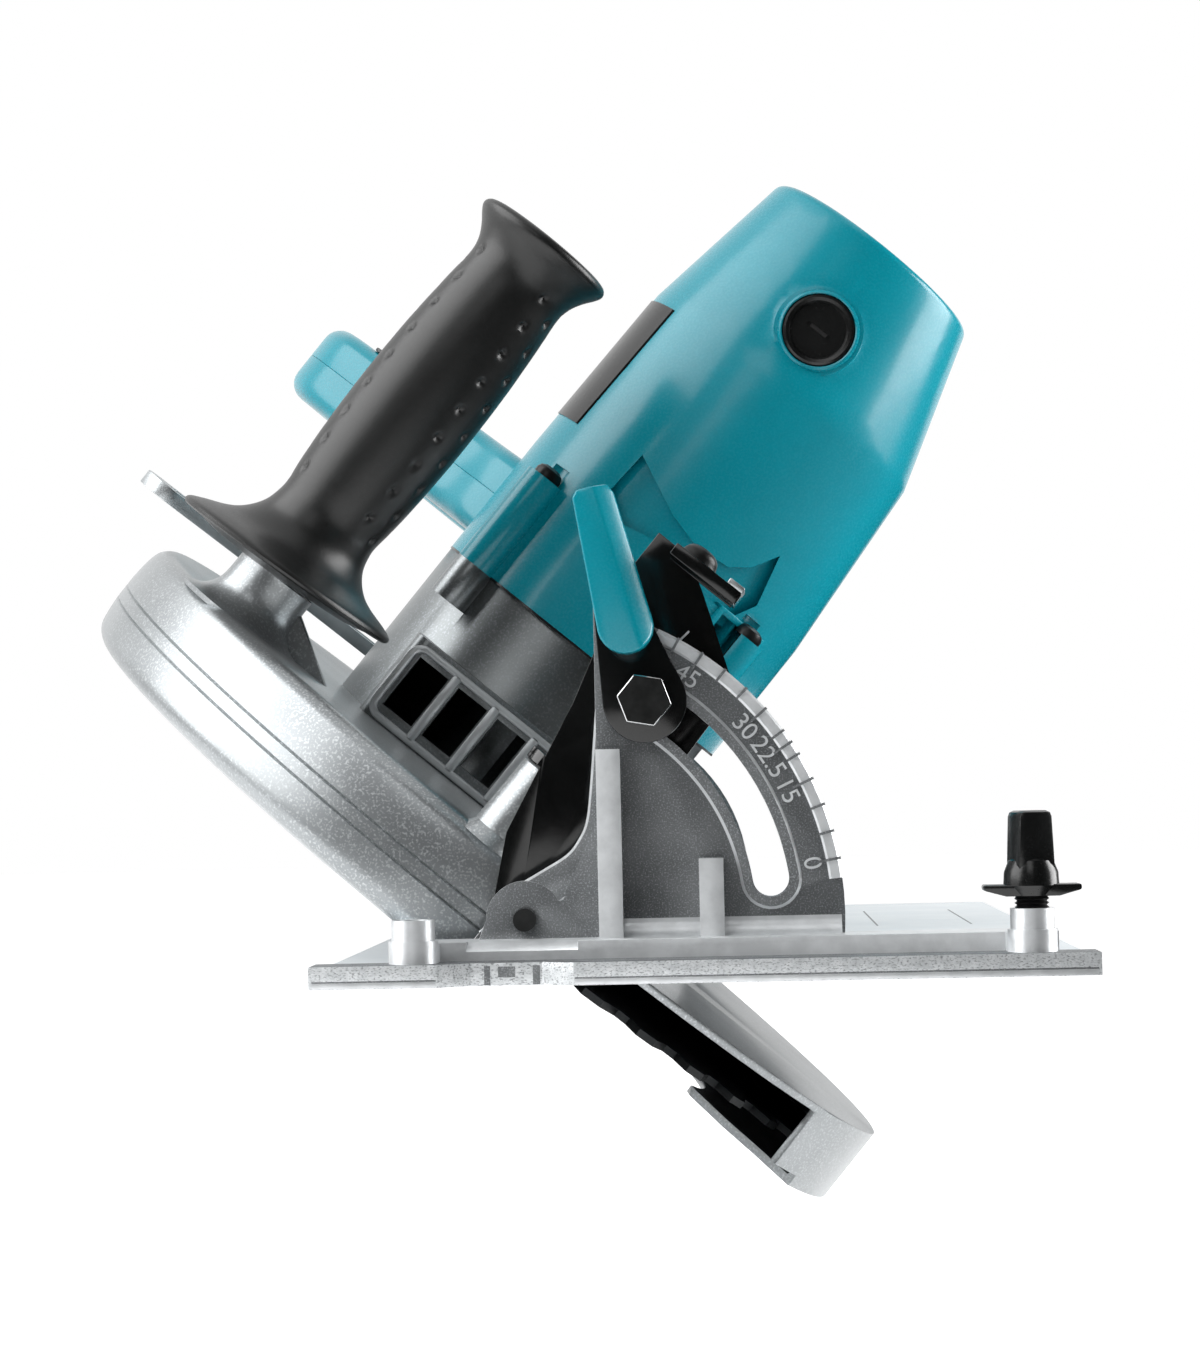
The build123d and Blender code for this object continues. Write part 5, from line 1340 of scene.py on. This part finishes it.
@dataclass
class FenceKnob:
    """Rip-fence knob: a thick wing on a boat-shaped flange, with the screw's thread below."""

    saw: Saw
    at: Pair = (135.5, -20.0)
    wing: Outline = ((-5.6, 23.0), (5.6, 23.0), (4.7, 43.2), (-4.7, 43.2))
    wing_half: float = 5.2
    wing_turn: float = math.radians(16)
    flange: Outline = (
        (-12.8, 23.8), (-12.8, 22.3), (-7.0, 20.7), (7.0, 20.7), (12.8, 22.3), (12.8, 23.8))
    lobes: Outline = (
        (20.8, 0), (20.8, 6), (23.5, 7.4), (27, 7.2), (30, 6.0), (32, 3), (32, 0))
    thread: Pair = (15.0, 21.0)
    thread_radius: Pair = (3.9, 4.6)
    thread_step: float = 1.1

    def threads(self) -> list[Pair]:
        """The screw's outline: one ridge for each turn of the thread."""
        root, crest = self.thread_radius
        low, high = self.thread
        count = int((high - low) / self.thread_step)
        ridges = [(low, 0.0)]
        for number in range(count):
            start = low + number * self.thread_step
            ridges += [(start, root), (start + self.thread_step / 2, crest)]
        return [*ridges, (high, root), (high, 0.0)]

    def build(self) -> None:
        """Make the knob and its screw."""
        half = self.wing_half
        wing = prism([(across, -half, up) for across, up in self.wing], (0, 2 * half, 0), 1.6)
        turn = Matrix.Rotation(self.wing_turn, 3, "Z")
        bmesh.ops.rotate(wing, cent=(0, 0, 0), matrix=turn, verts=wing.verts)
        flange = prism([(across, -half, up) for across, up in self.flange], (0, 2 * half, 0), 0.5)
        upright = Matrix.Rotation(math.radians(-90), 4, "Y")
        lobes = spun(self.lobes, (0, 0), 40)
        screw = spun(self.threads(), (0, 0), 40)
        for bm in (lobes, screw):
            bmesh.ops.transform(bm, matrix=upright, verts=bm.verts)
        place = self.saw.base() @ Matrix.Translation((*self.at, 0))
        knob = join(wing, flange, lobes)
        make_piece("fence_knob_wing", knob, BLACK_NYLON, "fence_knob", ["fence_knob"], place)
        make_piece("fence_knob_screw", screw, BLACK_OXIDE, "fence_knob", (), place)


@dataclass
class BracketTrim:
    """Front bracket: the CAD form with a slanted right edge, its domed stop screw and the scale's pointer."""

    saw: Saw
    screw_at: Pair = (-2.35, 24.0)
    screw: Outline = (
        (105.4, 0), (105.4, 5.2), (106.6, 5.3), (108.2, 4.4), (109.2, 2.6), (109.5, 0.0))
    pointer: Outline = ((43.2, 91.5), (43.6, 91.1), (46.5, 93.8), (46.1, 94.2))
    pointer_y: float = 8.2
    slant_span: Pair = (7.0, 15.0)
    slant: Outline = ((101.6, 21), (100.5, 19), (86.1, -3.1), (84, -14), (101.6, -14))

    def build(self) -> None:
        """Make the bracket, the screw and the pointer."""
        pressing = self.saw.softened("front_bracket", 0.5)
        bmesh.ops.transform(pressing, matrix=self.saw.head().inverted(), verts=pressing.verts)
        front, back = self.slant_span
        cutter = prism([(along, front, up) for along, up in self.slant], (0, back - front, 0))
        slanted = carved(pressing, cutter)
        make_piece("bracket_pressing", slanted, ELECTROCOAT, "carrier", ["front_bracket"], self.saw.head())
        dome = spun(flowing(self.screw, 4), self.screw_at, 40)
        make_piece("stop_screw_dome", dome, BLACK_OXIDE, "carrier", ["stop_screw"], self.saw.head())
        line = prism([(across, self.pointer_y, up) for across, up in self.pointer], (0, 0.6, 0))
        make_piece("bevel_pointer", line, RUBBED_AND_HIGHLIT, "carrier", (), self.saw.base())


@dataclass
class LowerGuard:
    """Sprung lower guard: the CAD form with the finger of its left wall cut to a blunt tip."""

    saw: Saw
    cut_span: Pair = (-21.0, -16.2)
    cut: Outline = (
        (40, -20), (165, -20), (152, -62), (144.5, -68), (131, -71), (118, -84), (112, -96), (100, -112),
        (30, -70))

    def build(self) -> None:
        """Round the guard's edges and trim its finger."""
        bm = self.saw.softened("lower_guard", 0.5)
        bmesh.ops.transform(bm, matrix=self.saw.head().inverted(), verts=bm.verts)
        left, right = self.cut_span
        trimmed = carved(bm, prism([(left, along, up) for along, up in self.cut], (right - left, 0, 0)))
        make_piece("lower_guard_shell", trimmed, LACQUERED, "lower_guard", ["lower_guard"], self.saw.head())


@dataclass
class HousingScrews:
    """Black pan-head screws that hold the motor housing to the gear case."""

    saw: Saw
    places: Outline = ((128.0, 84.3), (128.0, 4.3), (208.0, 4.3))
    outline: Outline = (
        (55, 0), (55, 2.4), (101.9, 2.4), (101.9, 4.6), (103.6, 4.6), (105.0, 3.9), (105.8, 2.4), (106, 0))

    def build(self) -> None:
        """Turn the screws."""
        screws = join(bmesh.new(), *(spun(self.outline, place, 32) for place in self.places))
        make_piece("pan_head_screws", screws, BLACK_OXIDE, "head", ["housing_screws"], self.saw.head())


@dataclass
class RearHandle:
    """Rear handle: a smooth D loop in two halves, rounded on their outer sides.

    Its outlines are drawn about the motor's middle.
    """

    saw: Saw
    motor: Pair = (168.0, 44.3)
    motor_radius: float = 54.1
    left: float = 75.0
    parting: float = 90.0
    right: float = 105.0
    rounding: float = 7.0
    seam: float = 0.3
    outer: Outline = (
        (17, 28), (28, 56), (60, 84), (94, 132), (116, 152), (142, 153), (177, 128),
        (204, 84), (212, 48), (206, 14), (184, -6), (132, -11), (37, -16))
    opening: Outline = (
        (68, 22), (72, 70), (120, 124), (143, 122), (168, 98), (182, 68), (184, 42), (170, 24), (132, 21))
    trigger_half: float = 7.8
    trigger: Outline = ((112, 100), (142, 100), (142, 143), (112, 143))
    button_at: Pair = (154.0, 127.0)
    button_radius: float = 4.8
    corner_cut: float = 0.28
    rod_spare: float = 5.0

    def outline(self, corners: Sequence[Pair], steps: int = 4) -> list[Pair]:
        """A smooth closed line that cuts the corners of a polygon.

        Args:
            corners: The polygon, from the motor's middle.
            steps: Pieces between one point of the line and the next.

        Returns:
            Points of the line, in the head frame.
        """
        near = []
        for first, last in zip(corners, [*corners[1:], corners[0]]):
            start = Vector(first) + Vector(self.motor)
            end = Vector(last) + Vector(self.motor)
            near += [start.lerp(end, self.corner_cut), start.lerp(end, 1 - self.corner_cut)]
        line = flowing([near[-1], *near, near[0], near[1]], steps)
        return line[steps:steps * (len(near) + 1)]

    def rod(self, at: Pair, radius: float) -> BMesh:
        """A rod along the motor's axis, longer than the handle is thick, for a hole.

        Args:
            at: Its place from the motor's middle.
            radius: Its radius.

        Returns:
            The closed mesh.
        """
        start = self.left - self.rod_spare
        end = self.right + self.rod_spare
        centre = (self.motor[0] + at[0], self.motor[1] + at[1])
        return spun([(start, 0), (start, radius), (end, radius), (end, 0)], centre, 64)

    def half(self, side: float) -> BMesh:
        """One half of the loop.

        Args:
            side: Where its outer side lies on X.

        Returns:
            The half, from its outer side to the parting line.
        """
        depth = self.parting - side
        loop = prism([(side, *point) for point in self.outline(self.outer)], (depth, 0, 0))
        inside = prism([(side - depth, *point) for point in self.outline(self.opening)], (3 * depth, 0, 0))
        bm = carved(loop, inside)
        for at, width, steps in ((self.parting, self.seam, 2), (side, self.rounding, 6)):
            rim = [edge for edge in sharp_edges(bm) if all(abs(vert.co.x - at) < 0.1 for vert in edge.verts)]
            soften(bm, rim, width, steps)
        window = [(self.parting - self.trigger_half, self.motor[0] + behind, self.motor[1] + up)
                  for behind, up in self.trigger]
        return carved(bm, self.rod((0, 0), self.motor_radius), self.rod(self.button_at, self.button_radius),
                      prism(window, (2 * self.trigger_half, 0, 0)))

    def build(self) -> None:
        """Make both halves."""
        place = self.saw.head()
        for name, side in (("left", self.left), ("right", self.right)):
            make_piece(f"handle_{name}", self.half(side), TEAL_NYLON, "head", [f"rear_handle_{name}"], place)


@dataclass
class Studio:
    """White sweep, soft lights and the photograph's camera, in metres."""

    camera_at: Vector = Vector((0.05895, -0.88260, 0.05203))
    camera_right: Vector = Vector((0.99885, 0.04266, -0.02197))
    camera_up: Vector = Vector((0.02326, -0.03021, 0.99927))
    lens_mm: float = 85.33
    sensor_mm: float = 36.0
    floor_drop: float = 0.03
    floor_half: float = 6.0
    paper_glow: float = 0.8
    ambient: float = 0.22
    room_at: float = -1.7
    room_half: float = 2.6
    room_middle: float = 0.4
    cloth_from: float = 0.22
    cloth_lift: float = 0.002
    aim_at: Vector = Vector((0.05, 0.12, 0.1))
    lamps: tuple[tuple[str, Triple, float, float], ...] = (
        ("key", (-0.95, -0.2, 0.95), 1.5, 25.0),
        ("front", (-0.1, -1.35, 1.0), 0.6, 2.0),
        ("right", (1.25, 0.3, 0.35), 0.8, 18.0),
    )

    def build(self, low: Vector) -> None:
        """Set up the floor, the world, the lamps and the camera.

        Args:
            low: The object's lowest corner.
        """
        self.floor(low.z - self.floor_drop)
        self.world()
        for lamp in self.lamps:
            self.lamp(*lamp)
        self.dark_room(low.z - self.floor_drop)
        self.camera()
        bpy.context.scene.view_settings.view_transform = "Standard"

    def seen_white(self, tree: NodeTree) -> NodeSocket:
        """One for rays that show the background itself: straight, mirrored or through glass."""
        path = add_node(tree, "ShaderNodeLightPath")
        mirrored = add_node(tree, "ShaderNodeMath", {
            0: path.outputs["Is Glossy Ray"],
            1: path.outputs["Is Transmission Ray"],
        }, operation="MAXIMUM").outputs[0]
        return add_node(tree, "ShaderNodeMath", {
            0: path.outputs["Is Camera Ray"],
            1: mirrored,
        }, operation="MAXIMUM").outputs[0]

    def world(self) -> None:
        """White to the eye and in reflections, dimmer as a light."""
        world = bpy.data.worlds.new("studio")
        bpy.context.scene.world = world
        world.use_nodes = True
        tree = world.node_tree
        tree.nodes.clear()
        strength = add_node(tree, "ShaderNodeMapRange", {
            "Value": self.seen_white(tree),
            "To Min": self.ambient,
            "To Max": 1.0,
        }).outputs["Result"]
        glow = add_node(tree, "ShaderNodeBackground", {"Color": (1, 1, 1, 1), "Strength": strength})
        add_node(tree, "ShaderNodeOutputWorld", {"Surface": glow.outputs["Background"]})

    def floor(self, height: float) -> None:
        """A pale floor far wider than the view.

        Args:
            height: Where it lies.
        """
        bm = bmesh.new()
        bmesh.ops.create_grid(bm, x_segments=1, y_segments=1, size=self.floor_half)
        bmesh.ops.translate(bm, vec=(0, 0, height), verts=bm.verts)
        mesh = bpy.data.meshes.new("floor")
        bm.to_mesh(mesh)
        bm.free()
        mesh.materials.append(self.paper())
        floor = bpy.data.objects.new("floor", mesh)
        bpy.context.scene.collection.objects.link(floor)
        floor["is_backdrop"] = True

    def dark_room(self, height: float) -> None:
        """Black cloth in front, on the right and over the floor there, seen in reflections only.

        Args:
            height: Where the floor lies.
        """
        bm = bmesh.new()
        half = self.room_half
        square = math.radians(90)
        front = Matrix.Translation((0, self.room_at, self.room_middle)) @ Matrix.Rotation(square, 4, "X")
        right = Matrix.Translation((-self.room_at, 0, self.room_middle)) @ Matrix.Rotation(square, 4, "Y")
        below = Matrix.Translation((half + self.cloth_from, self.room_at + half, height + self.cloth_lift))
        for panel in (front, right, below):
            bmesh.ops.create_grid(bm, x_segments=1, y_segments=1, size=half, matrix=panel)
        mesh = bpy.data.meshes.new("dark_room")
        bm.to_mesh(mesh)
        bm.free()
        cloth = bpy.data.materials.new("black_cloth")
        cloth.use_nodes = True
        shader = cloth.node_tree.nodes["Principled BSDF"]
        shader.inputs["Base Color"].default_value = linear("101010")
        shader.inputs["Roughness"].default_value = 1.0
        shader.inputs["Specular IOR Level"].default_value = 0.0
        mesh.materials.append(cloth)
        room = bpy.data.objects.new("dark_room", mesh)
        room.visible_camera = False
        room.visible_diffuse = False
        room.visible_shadow = False
        bpy.context.scene.collection.objects.link(room)
        room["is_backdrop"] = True

    def paper(self) -> Material:
        """White paper that glows a little to the eye, so that it reads as white and keeps a soft shadow."""
        paper = bpy.data.materials.new("white_paper")
        paper.use_nodes = True
        tree = paper.node_tree
        tree.nodes.clear()
        glow = add_node(tree, "ShaderNodeMath", {
            0: self.seen_white(tree),
            1: self.paper_glow,
        }, operation="MULTIPLY")
        shader = add_node(tree, "ShaderNodeBsdfPrincipled", {
            "Base Color": linear("f4f4f4"),
            "Roughness": 0.9,
            "Emission Color": (1, 1, 1, 1),
            "Emission Strength": glow.outputs[0],
        })
        add_node(tree, "ShaderNodeOutputMaterial", {"Surface": shader.outputs["BSDF"]})
        return paper

    def lamp(self, name: str, at: Triple, size: float, watts: float) -> None:
        """Hang a square soft lamp that faces the saw.

        Args:
            name: The lamp's name.
            at: Its place.
            size: Its side.
            watts: Its power.
        """
        light = bpy.data.lights.new(name, "AREA")
        light.size = size
        light.energy = watts
        hung = bpy.data.objects.new(name, light)
        bpy.context.scene.collection.objects.link(hung)
        aim = self.aim_at - Vector(at)
        hung.matrix_world = Matrix.Translation(at) @ aim.to_track_quat("-Z", "Y").to_matrix().to_4x4()

    def camera(self) -> None:
        """The camera that took the photograph, as fitted to the base and the protractor."""
        lens = bpy.data.cameras.new("camera")
        lens.lens = self.lens_mm
        lens.sensor_fit = "VERTICAL"
        lens.sensor_height = self.sensor_mm
        eye = bpy.data.objects.new("camera", lens)
        back = self.camera_right.cross(self.camera_up)
        turn = Matrix((self.camera_right, self.camera_up, back)).transposed().to_4x4()
        eye.matrix_world = Matrix.Translation(self.camera_at) @ turn
        bpy.context.scene.collection.objects.link(eye)
        bpy.context.scene.camera = eye


PIECES = (FrontGrip, UpperGuard, SawBase, MotorHousing, BrushCaps, GearVent, BevelLever, FenceKnob,
          BracketTrim, LowerGuard, HousingScrews, RearHandle)
ROUNDED_MM = {
    "stop_plate": 0.3,
    "depth_guide": 0.4,
    "handle_screws": 0.5,
}
FINISH_OF_NODE = {
    # The blade's near-black colour is painted shade inside the guard.
    "saw_blade": BLADE_STEEL,
    "tilt_pins": BLACK_OXIDE,
    "depth_guide": ZINC,
    "stop_plate": ZINC,
}


def corners(box: tuple[Vector, Vector]) -> list[list[float]]:
    """A box as plain lists of numbers."""
    return [list(corner) for corner in box]


def main() -> None:
    """Dress the saw, piece by piece, and light it."""
    logging.basicConfig(level=logging.INFO, format="%(name)s %(message)s")
    saw = Saw(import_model())
    cad_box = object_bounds()
    for kind in PIECES:
        kind(saw).build()
    CarriedNodes(saw, ROUNDED_MM, FINISH_OF_NODE).dress()
    Studio().build(cad_box[0])


if __name__ == "__main__":
    main()
